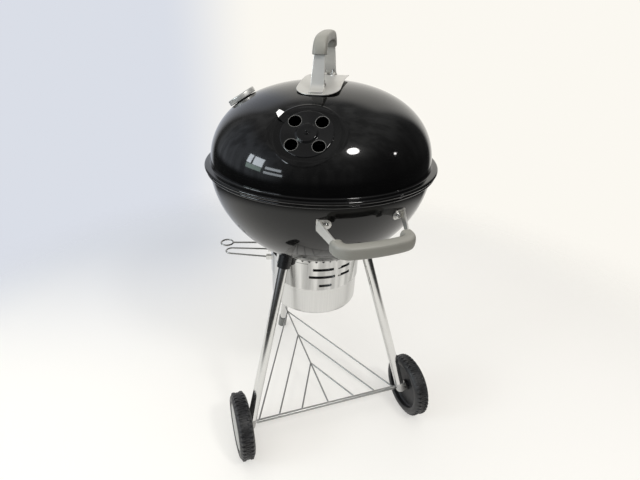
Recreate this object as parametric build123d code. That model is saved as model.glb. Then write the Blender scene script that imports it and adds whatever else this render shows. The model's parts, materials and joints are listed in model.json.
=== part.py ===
from build123d import *
import math
import os

# Driving dimensions in mm and degrees. The floor is z = 0, the kettle's upright axis is x = y = 0,
# the axle runs along x on the -y side. Headings are counted from -y towards +x.
RIM_R = 242.0            # outside of the lid's rolled edge
RIM_Z = 667.8            # height at which lid and bowl meet
RIM_GAP = 0.4            # between the two rolled edges
SHEET = 1.5              # enamelled sheet
LID_H = 157.4            # dome height above its straight edge
LID_TURNS = (14.0, 29.0)   # slopes at which the dome's three arcs meet
LID_MID = 0.96           # middle arc's radius as a share of the dome's radius
LID_INSET = 13.3         # rim radius less dome radius
LID_BEAD = 3.6
BOWL_H = 211.5
BOWL_TURNS = (8.0, 65.0)
BOWL_MID = 1.08
BOWL_INSET = 12.3
BOWL_BEAD = 3.2
EDGE_UP = 5.0            # straight edge of lid and bowl beyond the meeting height

VENT_R = 182.5           # damper's distance from the kettle's axis
VENT_AZ = -28.7
VENT_SINK = 9.5          # flat seat below the dome's outline
HOLE_PITCH = 33.0
HOLE_R = 11.3
DAMPER_R = 46.0
DAMPER_T = 1.5
TAB_AZ = 146.0           # damper's finger tab, counted in the seat from its right
PLAY = 0.3               # between pieces that move past each other
RUN_FIT = 0.06           # radial, shaft in hole
FIT = 0.05               # radial, fixed pieces

HANDLE_AZ = -31.4
HANDLE_LEAN = 3.1
HANDLE_OUT = 7.2         # handle centre in front of the lid's axis
HANDLE_SIDE = 6.0        # and to the right of it
HANDLE_UP = 5.9          # plate above the crown
PLATE_L = 185.0
PLATE_W = 81.5
PLATE_CORNER = 31.0
PLATE_T = 1.5
PLATE_CLOSER = 34.443628   # the crown's radius less the plate's bend radius
STRAP_W = 26.0           # at the plate
STRAP_TOP_W = 17.0       # inside the grip
STRAP_T = 3.0
STRAP_HALF = 74.5
STRAP_SPLAY = 16.5       # legs lean in by this much over their height
STRAP_H = 75.0
STRAP_BEND = 12.0
STRAP_FOOT = 15.0
LID_GRIP_W = 26.0
LID_GRIP_H = 85.0
LID_GRIP_DROP = 33.5
LID_GRIP_OVER = 6.5      # grip ends beyond the strap
BOLT_R = 2.5

DIAL_AZ = -117.0
DIAL_IN = 66.7           # dial centre inside the dome's edge
DIAL_CASE_R = 30.0
DIAL_CASE_H = 9.0
DIAL_STAND = 0.8

GRIP_Z = 606.0
GRIP_BEYOND = 41.0       # bar grips' middle line beyond the rim
GRIP_END_X = 65.0
GRIP_END_BEYOND = 12.0    # grip ends beyond the rim
GRIP_T = 22.0
GRIP_TALL = 25.0
GRIP_CORNER = 18.0
GRIP_FLARE = 5.5
GRIP_BOW = 8.0
SCREW_AZ = 17.6
SCREW_Z = 628.5
BRACKET_T = 2.5
BRACKET_W = 20.0
SCREW_R = 3.0

LEG_HALF = 55.0
LEG_TOP_R = 121.0
LEG_TOP_Z = 456.6
LEG_SLOPE = 0.324
LEG_R = 11.0
LEG_WALL = 1.5
SOCKET_R = 14.5
SOCKET_DEEP = 12.0
WHEEL_R = 76.0
WHEEL_W = 36.0
AXLE_R = 3.8
RACK_WIRE = 2.0
RACK_TUBE = 1.0          # wall of the rack's front tube, which the axle runs through
RACK_RISE = 25.0         # rack at the back leg above the axle
RACK_APEX = 16.5         # where the outer wires meet, in front of the back leg
WIRE_R = 2.0

CAN_R = 104.0
CAN_CLEAR = 0.8          # between the can and the leg sockets
CAN_T = 1.5
CAN_BOTTOM = 332.0
CAN_STEP_UP = 69.0
CAN_STEP_IN = 2.5
TEETH = 43
TOOTH_AZ = -2.2
SLOT_TALL = 6.4
CAN_HANDLE_AZ = -112.5
CAN_HANDLE_UP = 98.0
CAN_HANDLE_REACH = 218.0

LEVER_AZ = -106.4
LEVER_REACH = 224.0
LEVER_SWING = 25.0

GRATE_DROP = 27.0        # cooking grate below the meeting height
COAL_DROP = 122.0        # charcoal grate below the meeting height

GRIP_OUT = RIM_R + GRIP_BEYOND
GRIP_END_OUT = RIM_R + GRIP_END_BEYOND
LID_R = RIM_R - LID_INSET
BOWL_R = RIM_R - BOWL_INSET
LID_BASE = RIM_Z + EDGE_UP
BOWL_TOP = RIM_Z - EDGE_UP
CROWN = LID_BASE + LID_H
BOTTOM = BOWL_TOP - BOWL_H
UP = Vector(0, 0, 1)
BASE = (Align.CENTER, Align.CENTER, Align.MIN)

os.makedirs("parts", exist_ok=True)


def save(name, shape):
    solids = list(shape) if isinstance(shape, (list, tuple)) else [shape]
    flat = []
    for piece in solids:
        flat.extend(piece.solids())
    export_step(flat[0] if len(flat) == 1 else Compound(flat), "parts/" + name + ".step")


def heading(degrees):
    turn = math.radians(degrees)
    return Vector(math.sin(turn), -math.cos(turn), 0), Vector(math.cos(turn), math.sin(turn), 0)


def three_arcs(radius, height, turns, share):
    # x, height, radius and end slopes of the arcs from the middle to the edge, the edge at height 0
    first = math.radians(turns[0])
    last = math.radians(turns[1])
    mid = share * radius
    s1 = math.sin(first)
    c1 = math.cos(first)
    s2 = math.sin(last)
    c2 = math.cos(last)
    wide = radius + mid * (s1 - s2)
    tall = -height + mid * (c1 - c2)
    base = (1 - s2) * (1 - c1) - s1 * c2
    crown = -(wide * c2 + (1 - s2) * tall) / base
    edge = (s1 * tall + (1 - c1) * wide) / base
    high = height - crown
    x2 = (crown - mid) * s1
    z2 = high + (crown - mid) * c1
    x3 = x2 + (mid - edge) * s2
    z3 = z2 + (mid - edge) * c2
    return [(0.0, high, crown, 0.0, first), (x2, z2, mid, first, last), (x3, z3, edge, last, math.pi / 2)]


LID_ARCS = three_arcs(LID_R, LID_H, LID_TURNS, LID_MID)
plate_bend = LID_ARCS[0][2] - PLATE_CLOSER
dial_at_r = LID_R - DIAL_IN
BOWL_ARCS = three_arcs(BOWL_R, BOWL_H, BOWL_TURNS, BOWL_MID)


def turned_dome(arcs, inset, base, sign, straight):
    # full volume under a dome (sign 1) or inside a bowl (sign -1) with a straight edge
    def at(arc, slope):
        reach = arc[2] - inset
        return (arc[0] + reach * math.sin(slope), 0, base + sign * (arc[1] + reach * math.cos(slope)))
    edges = [ThreePointArc(at(arc, arc[3]), at(arc, (arc[3] + arc[4]) / 2), at(arc, arc[4])) for arc in arcs]
    low = base - sign * straight
    rim = at(arcs[-1], math.pi / 2)
    corner = (rim[0], 0, low)
    edges += [Line(rim, corner), Line(corner, (0, 0, low)), Line((0, 0, low), at(arcs[0], 0))]
    return Solid.revolve(Face(Wire(edges)), 360, Axis.Z)


def arc_at_radius(arcs, r):
    for x, high, reach, first, last in arcs:
        if r <= x + reach * math.sin(last) + 1e-6:
            slope = math.asin((r - x) / reach)
            return high + reach * math.cos(slope), slope
    raise ValueError("radius beyond the edge")


def arc_at_height(arcs, tall):
    for x, high, reach, first, last in reversed(arcs):
        if tall <= high + reach * math.cos(first) + 1e-6:
            slope = math.acos((tall - high) / reach)
            return x + reach * math.sin(slope), slope
    raise ValueError("height beyond the middle")


def lid_height(r):
    return LID_BASE + arc_at_radius(LID_ARCS, r)[0]


def lid_normal(r):
    slope = arc_at_radius(LID_ARCS, r)[1]
    return Vector(math.sin(slope), math.cos(slope))


def bowl_height(r):
    return BOWL_TOP - arc_at_radius(BOWL_ARCS, r)[0]


def bowl_radius(z):
    return arc_at_height(BOWL_ARCS, BOWL_TOP - z)[0]


def bowl_normal(z):
    slope = arc_at_height(BOWL_ARCS, BOWL_TOP - z)[1]
    return Vector(math.sin(slope), -math.cos(slope))


def rod(start, end, radius):
    start = Vector(start)
    run = Vector(end) - start
    return Plane(origin=start, z_dir=run) * Cylinder(radius, run.length, align=BASE)


def bar(radius, low, high):
    return Pos(0, 0, low) * Cylinder(radius, high - low, align=BASE)


def sleeve(radius, hole, low, high):
    return bar(radius, low, high) - bar(hole, low - 1, high + 1)


def nut(across, hole, low, high):
    flats = Pos(0, 0, low) * extrude(RegularPolygon(across / 2, 6, major_radius=False), high - low)
    return flats - bar(hole, low - 1, high + 1)


def button_head(radius, low, tall):
    body = bar(radius, low, low + tall)
    return fillet(body.edges().group_by(Axis.Z)[-1], tall * 0.7)


def sector(inner, outer, first, last, low, high):
    # a block between two radii and two headings
    def at(radius, degrees):
        return heading(degrees)[0] * radius + UP * low
    middle = (first + last) / 2
    edges = [ThreePointArc(at(outer, first), at(outer, middle), at(outer, last)),
             Line(at(outer, last), at(inner, last)),
             ThreePointArc(at(inner, last), at(inner, middle), at(inner, first)),
             Line(at(inner, first), at(outer, first))]
    return Solid.extrude(Face(Wire(edges)), UP * (high - low))


def turned_about_x(points):
    edges = []
    for index, point in enumerate(points):
        after = points[(index + 1) % len(points)]
        edges.append(Line((point[0], 0, point[1]), (after[0], 0, after[1])))
    return Solid.revolve(Face(Wire(edges)), 360, Axis.X)


def wire_along(path, radius):
    start = Plane(origin=path @ 0, z_dir=path % 0)
    return sweep(start * Circle(radius), path=path)


# Lid shell: dome, flat damper seat, rolled edge.
lid_bead_r = RIM_R - LID_BEAD
lid_bead_z = RIM_Z + RIM_GAP / 2 + LID_BEAD
lid_full = turned_dome(LID_ARCS, 0, LID_BASE, 1, LID_BASE - lid_bead_z + SHEET / 2)
lid_hollow = turned_dome(LID_ARCS, SHEET, LID_BASE, 1, 30)
vent_out, vent_right = heading(VENT_AZ)
vent_n2 = lid_normal(VENT_R)
vent_n = vent_out * vent_n2.X + UP * vent_n2.Y
vent_on = vent_out * VENT_R + UP * lid_height(VENT_R)
seat = Plane(origin=vent_on - vent_n * VENT_SINK, x_dir=vent_right, z_dir=vent_n)
slab = Box(340, 340, 120, align=BASE)
lid_outside = lid_full - seat * slab
lid_inside = lid_hollow - seat.offset(-SHEET) * slab
lid = lid_outside + bar(lid_bead_r, lid_bead_z - SHEET / 2, lid_bead_z + SHEET / 2)
lid = lid + Pos(0, 0, lid_bead_z) * Torus(lid_bead_r, LID_BEAD) - lid_inside
hole_spots = [(HOLE_PITCH * math.cos(math.radians(a)), HOLE_PITCH * math.sin(math.radians(a)))
              for a in (45, 135, 225, 315)]
lid = lid - [seat * (Pos(x, y, -8) * Cylinder(HOLE_R, 16)) for x, y in hole_spots]
rivet_r = 2.6
lid = lid - seat * Cylinder(rivet_r + FIT, 16)

# Lid handle frame: x towards the damper, z up, leaning with the plate.
lean = math.radians(HANDLE_LEAN)
hand_out, hand_right = heading(HANDLE_AZ)
hand_x = hand_out * math.cos(lean) - UP * math.sin(lean)
hand_z = hand_out * math.sin(lean) + UP * math.cos(lean)
hand_at = hand_out * HANDLE_OUT + hand_right * HANDLE_SIDE + UP * (CROWN + HANDLE_UP)
hand = Plane(origin=hand_at, x_dir=hand_x, z_dir=hand_z)
side = Plane(origin=hand.origin, x_dir=hand_x, z_dir=hand_x.cross(hand_z))


def plate_top(x):
    return PLATE_T / 2 - x * x / (2 * plate_bend)


bolt_x = STRAP_HALF - 18
bolt_spots = [(x, y) for x in (-bolt_x, bolt_x) for y in (-8.5, 8.5)]
spacer_r = 5.5
nut_across = 9.0
plate_fall = bolt_x / plate_bend   # slope of the bent plate at the bolts
sheet = Plane.XZ * (Circle(plate_bend + PLATE_T / 2) - Circle(plate_bend - PLATE_T / 2))
sheet = Pos(0, 0, -plate_bend) * extrude(sheet, PLATE_W, both=True)
plate = sheet & extrude(RectangleRounded(PLATE_L, PLATE_W, PLATE_CORNER), 30, both=True)
plate = plate - [Pos(x, y, 0) * Cylinder(BOLT_R + FIT, 40) for x, y in bolt_spots]
foot_x = STRAP_HALF + STRAP_FOOT
strap_top = STRAP_HALF - STRAP_SPLAY
rise = STRAP_T / 2 + 0.06
strap_path = FilletPolyline(
    (-foot_x, plate_top(foot_x) + rise), (-STRAP_HALF, plate_top(STRAP_HALF) + rise),
    (-strap_top, STRAP_H - STRAP_T / 2), (strap_top, STRAP_H - STRAP_T / 2),
    (STRAP_HALF, plate_top(STRAP_HALF) + rise), (foot_x, plate_top(foot_x) + rise), radius=STRAP_BEND)
strap = extrude(trace(strap_path, line_width=STRAP_T), STRAP_W, both=True)
strap_low = plate_top(foot_x)
strap_edge = Polyline((-STRAP_W / 2, strap_low - 20), (STRAP_W / 2, strap_low - 20), (STRAP_W / 2, strap_low + STRAP_T),
                      (STRAP_TOP_W / 2, STRAP_H), (-STRAP_TOP_W / 2, STRAP_H), (-STRAP_W / 2, strap_low + STRAP_T),
                      close=True)
strap_side = Plane(origin=(0, 0, 0), x_dir=(0, 0, -1), z_dir=(1, 0, 0))
strap = strap & strap_side * extrude(make_face(strap_edge), foot_x + 10, both=True)
grip_low = LID_GRIP_H - LID_GRIP_DROP
grip_x = STRAP_HALF - STRAP_SPLAY * grip_low / STRAP_H + LID_GRIP_OVER
arch_high = STRAP_H - 9
grip_face = make_face([
    Line((grip_x, grip_low), (grip_x - 3, LID_GRIP_H - 24)),
    ThreePointArc((grip_x - 3, LID_GRIP_H - 24), (grip_x - 12, LID_GRIP_H - 7), (grip_x - 32, LID_GRIP_H)),
    Line((grip_x - 32, LID_GRIP_H), (-grip_x + 32, LID_GRIP_H)),
    ThreePointArc((-grip_x + 32, LID_GRIP_H), (-grip_x + 12, LID_GRIP_H - 7), (-grip_x + 3, LID_GRIP_H - 24)),
    Line((-grip_x + 3, LID_GRIP_H - 24), (-grip_x, grip_low)),
    Line((-grip_x, grip_low), (-grip_x + 20, grip_low)),
    ThreePointArc((-grip_x + 20, grip_low), (-grip_x + 27, arch_high - 6), (-grip_x + 44, arch_high)),
    Line((-grip_x + 44, arch_high), (grip_x - 44, arch_high)),
    ThreePointArc((grip_x - 44, arch_high), (grip_x - 27, arch_high - 6), (grip_x - 20, grip_low)),
    Line((grip_x - 20, grip_low), (grip_x, grip_low))])
lid_grip = extrude(grip_face, LID_GRIP_W / 2, both=True)
top_edges = [e for e in lid_grip.edges()
             if abs(abs((e @ 0.5).Z) - LID_GRIP_W / 2) < 0.01 and (e @ 0.5).Y > grip_low + 1]
lid_grip = fillet([e for e in top_edges if abs((e @ 0.5).Y - arch_high) > 20 or abs((e @ 0.5).X) > grip_x - 18
                   or (e @ 0.5).Y > LID_GRIP_H - 1], 6)
save("lid_heat_plate", hand * plate)
save("lid_strap", side * strap)
save("lid_grip", side * (lid_grip - strap))
bolts = []
nuts = []
spacers = []
lid_cuts = []
for x, y in bolt_spots:
    place = hand * Pos(x, y, 0)
    top = plate_top(x)
    spacer_top = top - PLATE_T - plate_fall * spacer_r - FIT
    nut_low = top + plate_fall * nut_across * 0.6 + FIT
    spacers.append(place * sleeve(spacer_r, BOLT_R + FIT, -30, spacer_top) - lid_full)
    nuts.append(place * nut(nut_across, BOLT_R + FIT, nut_low, nut_low + 4.5))
    spot = place.position
    below = (lid_height(math.hypot(spot.X, spot.Y) + 6) - SHEET - spot.Z) * 1.0 - 1.0
    bolts.append(place * (bar(BOLT_R, below, top + 11.5) + bar(4.5, below - 2.5, below)))
    lid_cuts.append(place * Cylinder(BOLT_R + FIT, 80))
save("lid_handle_bolts", bolts)
save("lid_handle_nuts", nuts)
save("lid_spacers", spacers)

# Thermometer on the lid's left.
dial_out, dial_right = heading(DIAL_AZ)
dial_n2 = lid_normal(dial_at_r)
dial_n = dial_out * dial_n2.X + UP * dial_n2.Y
dial = Plane(origin=dial_out * dial_at_r + UP * lid_height(dial_at_r), x_dir=dial_right, z_dir=dial_n)
stem_r = 3.5
well_r = DIAL_CASE_R - 2.5
case_top = DIAL_STAND + DIAL_CASE_H
case = bar(DIAL_CASE_R, DIAL_STAND, case_top) - bar(well_r, DIAL_STAND + 2.5, case_top + 1)
case = case - bar(stem_r + FIT, 0, case_top)
case = fillet(case.edges().filter_by(GeomType.CIRCLE).group_by(Axis.Z)[-1], 0.8)
face_low = DIAL_STAND + 2.5 + FIT
dial_face = bar(well_r - FIT, face_low, face_low + 0.8) + bar(1.2, face_low, face_low + 3.2)
needle = sleeve(2.6, 1.2 + RUN_FIT, face_low + 1.3, face_low + 2.1)
pointer = Polyline((-0.9, 1.8), (0.9, 1.8), (0.25, well_r - 5), (-0.25, well_r - 5), close=True)
pointer = Pos(0, 0, face_low + 1.3) * extrude(make_face(pointer), 0.8)
needle = needle + pointer - bar(1.2 + RUN_FIT, 0, 40)
lens = bar(well_r - FIT, case_top - 2.2, case_top - 0.9)
stem_body = dial * bar(9, -3, DIAL_STAND - FIT) - lid_full + dial * bar(stem_r, -38, DIAL_STAND + 2.4)
save("thermo_case", dial * case)
save("thermo_dial", dial * dial_face)
save("thermo_needle", dial * (Rot(0, 0, 115) * needle))
save("thermo_lens", dial * lens)
save("thermo_stem", stem_body)
save("thermo_nut", dial * nut(14, stem_r + FIT, -SHEET - 6.5, -SHEET - 0.6))
lid_cuts.append(dial * Cylinder(stem_r + FIT, 30))
lid = lid - lid_cuts
save("lid_shell", lid)

# Damper disc on its rivet.
damper_low = PLAY
damper_high = PLAY + DAMPER_T
boss_r = 18.5
boss_high = damper_high + 3.2
damper = bar(DAMPER_R, damper_low, damper_high) + bar(boss_r, damper_low, boss_high)
damper = fillet(damper.edges().filter_by(GeomType.CIRCLE).group_by(Axis.Z)[-1], 2.8)
tab_lift = Polyline((DAMPER_R - 6, damper_low), (DAMPER_R + 4, damper_low), (DAMPER_R + 21, damper_low + 10),
                    (DAMPER_R + 20.2, damper_low + 11.3), (DAMPER_R + 3.6, damper_high),
                    (DAMPER_R - 6, damper_high), close=True)
tab = extrude(Plane.XZ * make_face(tab_lift), 8, both=True)
tab_plan = make_face(Polyline((DAMPER_R - 8, -8), (DAMPER_R + 3, -8), (DAMPER_R + 22, -4.5), (DAMPER_R + 22, 4.5),
                              (DAMPER_R + 3, 8), (DAMPER_R - 8, 8), close=True))
damper = damper + Rot(0, 0, TAB_AZ) * (tab & extrude(tab_plan, 30))
damper = damper - [Pos(x, y, 0) * Cylinder(HOLE_R, 30) for x, y in hole_spots]
damper = damper - Cylinder(rivet_r + RUN_FIT, 30)
save("lid_damper", seat * damper)
rivet = bar(rivet_r, -SHEET - 3, boss_high + PLAY + 1) + button_head(4.2, boss_high + PLAY, 1.3)
rivet = rivet + bar(5, -SHEET - 3, -SHEET - 0.2) - bar(1.5, 0, boss_high + 9)
save("lid_damper_rivet", seat * rivet)

# Bowl shell.
bowl_bead_r = RIM_R - 2.6 - BOWL_BEAD
bowl_bead_z = RIM_Z - RIM_GAP / 2 - BOWL_BEAD
bowl_full = turned_dome(BOWL_ARCS, 0, BOWL_TOP, -1, bowl_bead_z + SHEET / 2 - BOWL_TOP)
bowl_hollow = turned_dome(BOWL_ARCS, SHEET, BOWL_TOP, -1, 30)
bowl = bowl_full + bar(bowl_bead_r, bowl_bead_z - SHEET / 2, bowl_bead_z + SHEET / 2)
bowl = bowl + Pos(0, 0, bowl_bead_z) * Torus(bowl_bead_r, BOWL_BEAD) - bowl_hollow
shaft_r = 6.0
bowl_cuts = [Pos(0, 0, BOTTOM) * Cylinder(shaft_r + RUN_FIT, 40)]
for turn in (30, 150, 270):
    slot = extrude(Pos(50, 0) * SlotCenterToCenter(30, 24), 60)
    bowl_cuts.append(Pos(0, 0, BOTTOM - 20) * Rot(0, 0, turn) * slot)

# Bowl handles, front and rear: two brackets and a grip each.
screws = []
washers = []
screw_nuts = []


def bracket_pair(facing):
    pair = []
    for hand_side in (-1, 1):
        out, right = heading(facing + hand_side * SCREW_AZ)
        tilt = bowl_normal(SCREW_Z)
        normal = out * tilt.X + UP * tilt.Y
        spot = out * bowl_radius(SCREW_Z) + UP * SCREW_Z
        frame = Plane(origin=spot, x_dir=right, z_dir=normal)
        bend = 15.0 * hand_side
        half = BRACKET_W / 2
        foot = Pos(bend / 2, 0, FIT) * Box(abs(bend) + BRACKET_T, BRACKET_W, BRACKET_T, align=BASE)
        foot = frame * (foot + bar(half, FIT, FIT + BRACKET_T))
        ahead, across = heading(facing)
        goal = ahead * (GRIP_END_OUT + 9) + across * (hand_side * (GRIP_END_X + 1)) + UP * GRIP_Z
        start = spot + right * bend + normal * (BRACKET_T / 2 + FIT)
        run = Vector(goal.X - start.X, goal.Y - start.Y, 0)
        drop = goal.Z + 2 - start.Z
        flat = Plane(origin=start, x_dir=run, z_dir=run.cross(UP))
        shape = make_face(Polyline((0, half + 1.5), (run.length, drop + 8), (run.length, drop - 8), (0, -half - 1.5),
                                   close=True))
        arm = flat * extrude(shape, BRACKET_T / 2, both=True)
        piece = foot + arm - bowl_full - frame * Cylinder(SCREW_R + FIT, 30)
        pair.append(piece)
        seat_up = FIT + BRACKET_T + 0.06
        washers.append(frame * sleeve(8, SCREW_R + FIT, seat_up, seat_up + 1.2))
        head = button_head(5.5, seat_up + 1.26, 3.2) + bar(SCREW_R, -9, seat_up + 2)
        screws.append(frame * head)
        screw_nuts.append(frame * nut(10, SCREW_R + FIT, -SHEET - 5.5, -SHEET - 0.4))
        bowl_cuts.append(frame * Cylinder(SCREW_R + FIT, 30))
    return pair


def bar_grip(pair, facing):
    # flared ends, two corners and a slightly bowed front, all tangent
    flare = math.radians(GRIP_FLARE)
    bow = math.radians(GRIP_BOW)
    corner_x = GRIP_CORNER * (math.cos(flare) - math.sin(bow))
    corner_y = GRIP_CORNER * (math.cos(bow) + math.sin(flare))
    ratio = math.tan(bow / 2)
    end = (GRIP_OUT - GRIP_END_OUT - corner_y - ratio * (GRIP_END_X - corner_x)) / (
        math.cos(flare) + ratio * math.sin(flare))
    front_r = (GRIP_END_X + end * math.sin(flare) - corner_x) / math.sin(bow)
    begin = Vector(-GRIP_END_X, -GRIP_END_OUT, GRIP_Z)
    along = Vector(-math.sin(flare), -math.cos(flare), 0)
    first = Line(begin, begin + along * end)
    turn = 90 + GRIP_FLARE - GRIP_BOW
    second = JernArc(first @ 1, first % 1, GRIP_CORNER, turn)
    third = JernArc(second @ 1, second % 1, front_r, 2 * GRIP_BOW)
    fourth = JernArc(third @ 1, third % 1, GRIP_CORNER, turn)
    fifth = Line(fourth @ 1, (GRIP_END_X, -GRIP_END_OUT, GRIP_Z))
    path = Wire([first, second, third, fourth, fifth])
    start = Plane(origin=begin, x_dir=along.cross(UP), z_dir=along)
    body = sweep(start * RectangleRounded(GRIP_T, GRIP_TALL, 8.5), path=path)
    return Rot(0, 0, facing) * body - pair


front_pair = bracket_pair(0)
rear_pair = bracket_pair(180)
save("bowl_brackets_front", front_pair)
save("bowl_brackets_rear", rear_pair)
save("bowl_grip_front", bar_grip(front_pair, 0))
save("bowl_grip_rear", bar_grip(rear_pair, 180))
save("handle_screws", screws)
save("handle_washers", washers)
save("handle_nuts", screw_nuts)
bowl = bowl - bowl_cuts
save("bowl_shell", bowl)

# Grates and the tabs that carry them.
grate_z = RIM_Z - GRATE_DROP
coal_z = RIM_Z - COAL_DROP


def grate(radius, ring_r, rod_r, pitch, z, cross_x, cross_r):
    body = Pos(0, 0, z) * Torus(radius, ring_r)
    rods = []
    count = int((radius - 6) / pitch)
    for index in range(-count, count + 1):
        y = index * pitch
        reach = math.sqrt(radius * radius - y * y)
        rods.append(rod((-reach, y, z), (reach, y, z), rod_r))
    low = z - rod_r - cross_r + 0.6
    for x in (-cross_x, cross_x):
        reach = math.sqrt((radius - ring_r) ** 2 - x * x) - 4
        rods.append(rod((x, -reach, low), (x, reach, low), cross_r))
    return body + rods


tab_room = turned_dome(BOWL_ARCS, SHEET + FIT, BOWL_TOP, -1, 30)
tab_inside = turned_dome(BOWL_ARCS, SHEET + FIT + 2, BOWL_TOP, -1, 30)


def tabs(radius, ring_r, z, facings):
    made = []
    high = z - ring_r - PLAY
    wall = bowl_radius(high - 2)
    for facing in facings:
        half = math.degrees(7 / wall)
        shelf = sector(radius - 9, wall + 4, facing - half, facing + half, high - 2, high)
        back = sector(bowl_radius(high - 18) - SHEET - 4, wall + 4, facing - half, facing + half, high - 16, high)
        made.append((shelf & tab_room) + (back & (tab_room - tab_inside)))
    return made


grate_ring = 3.0
grate_r = bowl_radius(grate_z) - SHEET - 10 - grate_ring
save("cooking_grate", grate(grate_r, grate_ring, 2.0, 15.5, grate_z, 92, 2.6))
save("cooking_grate_tabs", tabs(grate_r, grate_ring, grate_z, (45, 135, 225, 315)))
coal_ring = 3.5
coal_r = bowl_radius(coal_z) - SHEET - 12 - coal_ring
save("charcoal_grate", grate(coal_r, coal_ring, 3.0, 23.0, coal_z, 62, 3.2))
save("charcoal_grate_tabs", tabs(coal_r, coal_ring, coal_z, (0, 90, 180, 270)))

# Ash sweep: blades inside the bowl, shaft, lever under the bowl.
blade_gap = 0.9
blade_t = 1.8
blade_band = turned_dome(BOWL_ARCS, SHEET + blade_gap, BOWL_TOP, -1, 1)
blade_band = blade_band - turned_dome(BOWL_ARCS, SHEET + blade_gap + blade_t, BOWL_TOP, -1, 1)
blade_plan = bar(21, BOTTOM, BOTTOM + 80)
for turn in (90, 210, 330):
    blade_plan = blade_plan + Pos(0, 0, BOTTOM) * Rot(0, 0, turn) * Box(
        108, 27, 80, align=(Align.MIN, Align.CENTER, Align.MIN))
lever_z = BOTTOM - 13
shaft_top = BOTTOM + SHEET + 3
shaft = bar(shaft_r, lever_z - 14, shaft_top + 4) + bar(11, shaft_top, shaft_top + 4)
blades = (blade_band & blade_plan) - bar(shaft_r + FIT, BOTTOM - 20, shaft_top + 60)
save("sweep_blades", blades - bar(11 + FIT, shaft_top, shaft_top + 20))
save("sweep_shaft", shaft)
lever_out, lever_right = heading(LEVER_AZ)
lever_high = bowl_height(CAN_R) - 13.2
ring_r = 14.0


def lever_at(r, z):
    return lever_out * r + UP * z


ring_mid = LEVER_REACH - ring_r - WIRE_R
knots = [lever_at(9, lever_z), lever_at(42, lever_z), lever_at(94, lever_high),
         lever_at(ring_mid - ring_r, lever_high)]
lever = sleeve(11.5, shaft_r + FIT, lever_z - 2.5, lever_z + 2.5)
for first, last in zip(knots, knots[1:]):
    lever = lever + rod(first, last, WIRE_R)
for knot in knots[1:3]:
    lever = lever + Pos(knot) * Sphere(WIRE_R)
lever = lever - bar(shaft_r + FIT, lever_z - 20, lever_z + 20)
lever = lever + Pos(lever_at(ring_mid, lever_high)) * Torus(ring_r, WIRE_R)
save("sweep_lever", lever)
save("sweep_nut", nut(19, shaft_r + FIT, lever_z - 10, lever_z - 2.56))

# Ash can: upper ring with air slots and teeth, step, plain lower part.
can_step = CAN_BOTTOM + CAN_STEP_UP
can_top = bowl_height(CAN_R - CAN_T) - 0.6
low_r = CAN_R - CAN_STEP_IN
can_out = bar(low_r, CAN_BOTTOM, can_step)
can_out = fillet(can_out.edges().group_by(Axis.Z)[0], 7)
can_in = bar(low_r - CAN_T, CAN_BOTTOM + CAN_T, can_step + 1)
can_in = fillet(can_in.edges().group_by(Axis.Z)[0], 5.5)
can = can_out + bar(CAN_R, can_step - CAN_T, can_top) - can_in - bar(CAN_R - CAN_T, can_step, can_top + 5)
for first in (-44, 76):
    can = can + sector(CAN_R - 0.5, CAN_R + 0.9, first, first + 15, can_step - CAN_T, can_top - 9)
can_cuts = []
slot_rows = [(-22.7, 3.1, 53), (9.3, 27, 53), (-27.2, 5.2, 34), (9.3, 27.5, 34), (-14.6, 1.2, 12)]
for turn in (0, 120):
    for first, last, up in slot_rows:
        slot_low = can_step + up - SLOT_TALL / 2
        can_cuts.append(sector(CAN_R - 6, CAN_R + 6, first + turn, last + turn, slot_low, slot_low + SLOT_TALL))
opening = LEVER_SWING + 5
can_cuts.append(sector(CAN_R - 9, CAN_R + 9, LEVER_AZ - opening, LEVER_AZ + opening, lever_high - 8, can_top + 9))
tooth = make_face(Polyline((-6.0, 1), (6.0, 1), (0, -5.5), close=True))
for index in range(TEETH):
    out, right = heading(TOOTH_AZ + index * 360 / TEETH)
    frame = Plane(origin=out * (CAN_R - 8) + UP * can_top, x_dir=right, z_dir=out)
    can_cuts.append(frame * extrude(tooth, 16))
save("ash_can", can - can_cuts)
grab_out, grab_right = heading(CAN_HANDLE_AZ)
grab_z = CAN_BOTTOM + CAN_HANDLE_UP


def grab_at(r, offset):
    return grab_out * r + grab_right * offset + UP * grab_z


bow = 13.0
root = 18.5
turn_at = CAN_HANDLE_REACH - bow - WIRE_R
loop = Wire([Line(grab_at(CAN_R + 3, root), grab_at(turn_at, bow)),
             ThreePointArc(grab_at(turn_at, bow), grab_at(turn_at + bow, 0), grab_at(turn_at, -bow)),
             Line(grab_at(turn_at, -bow), grab_at(CAN_R + 3, -root))])
can_handle = wire_along(loop, WIRE_R)
save("ash_can_handle", can_handle)
lugs = []
for offset in (-root, root):
    block = Plane(origin=grab_at(CAN_R + 1, offset), x_dir=grab_out, z_dir=UP) * Box(18, 10, 10)
    lugs.append(block - bar(CAN_R + FIT, 0, 700) - can_handle)
save("ash_can_lugs", lugs)
clips = []
for facing in (10, 88, 168):
    clip_out = CAN_R - CAN_T - PLAY
    strip = sector(clip_out - 1.4, clip_out, facing - 4, facing + 4, can_step + 28, can_top + 20)
    clips.append(strip - bowl_full)
save("ash_can_clips", clips)

# Tripod: sockets under the bowl, legs, fittings, foot.
leg_names = {"left": -LEG_HALF, "right": LEG_HALF, "back": 180.0}
axle_z = WHEEL_R
fit_top = axle_z + 13
rack_z = axle_z + RACK_RISE


def leg_at(facing, z):
    return heading(facing)[0] * (LEG_TOP_R + LEG_SLOPE * (LEG_TOP_Z - z)) + UP * z


hub = leg_at(LEG_HALF, axle_z)
rack_front = hub.Y
rack_back = leg_at(180, rack_z).Y


def rack_at(x, y):
    # on the rack's plane, which climbs from the axle to the back leg
    return (x, y, axle_z + RACK_RISE * (y - rack_front) / (rack_back - rack_front))


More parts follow.
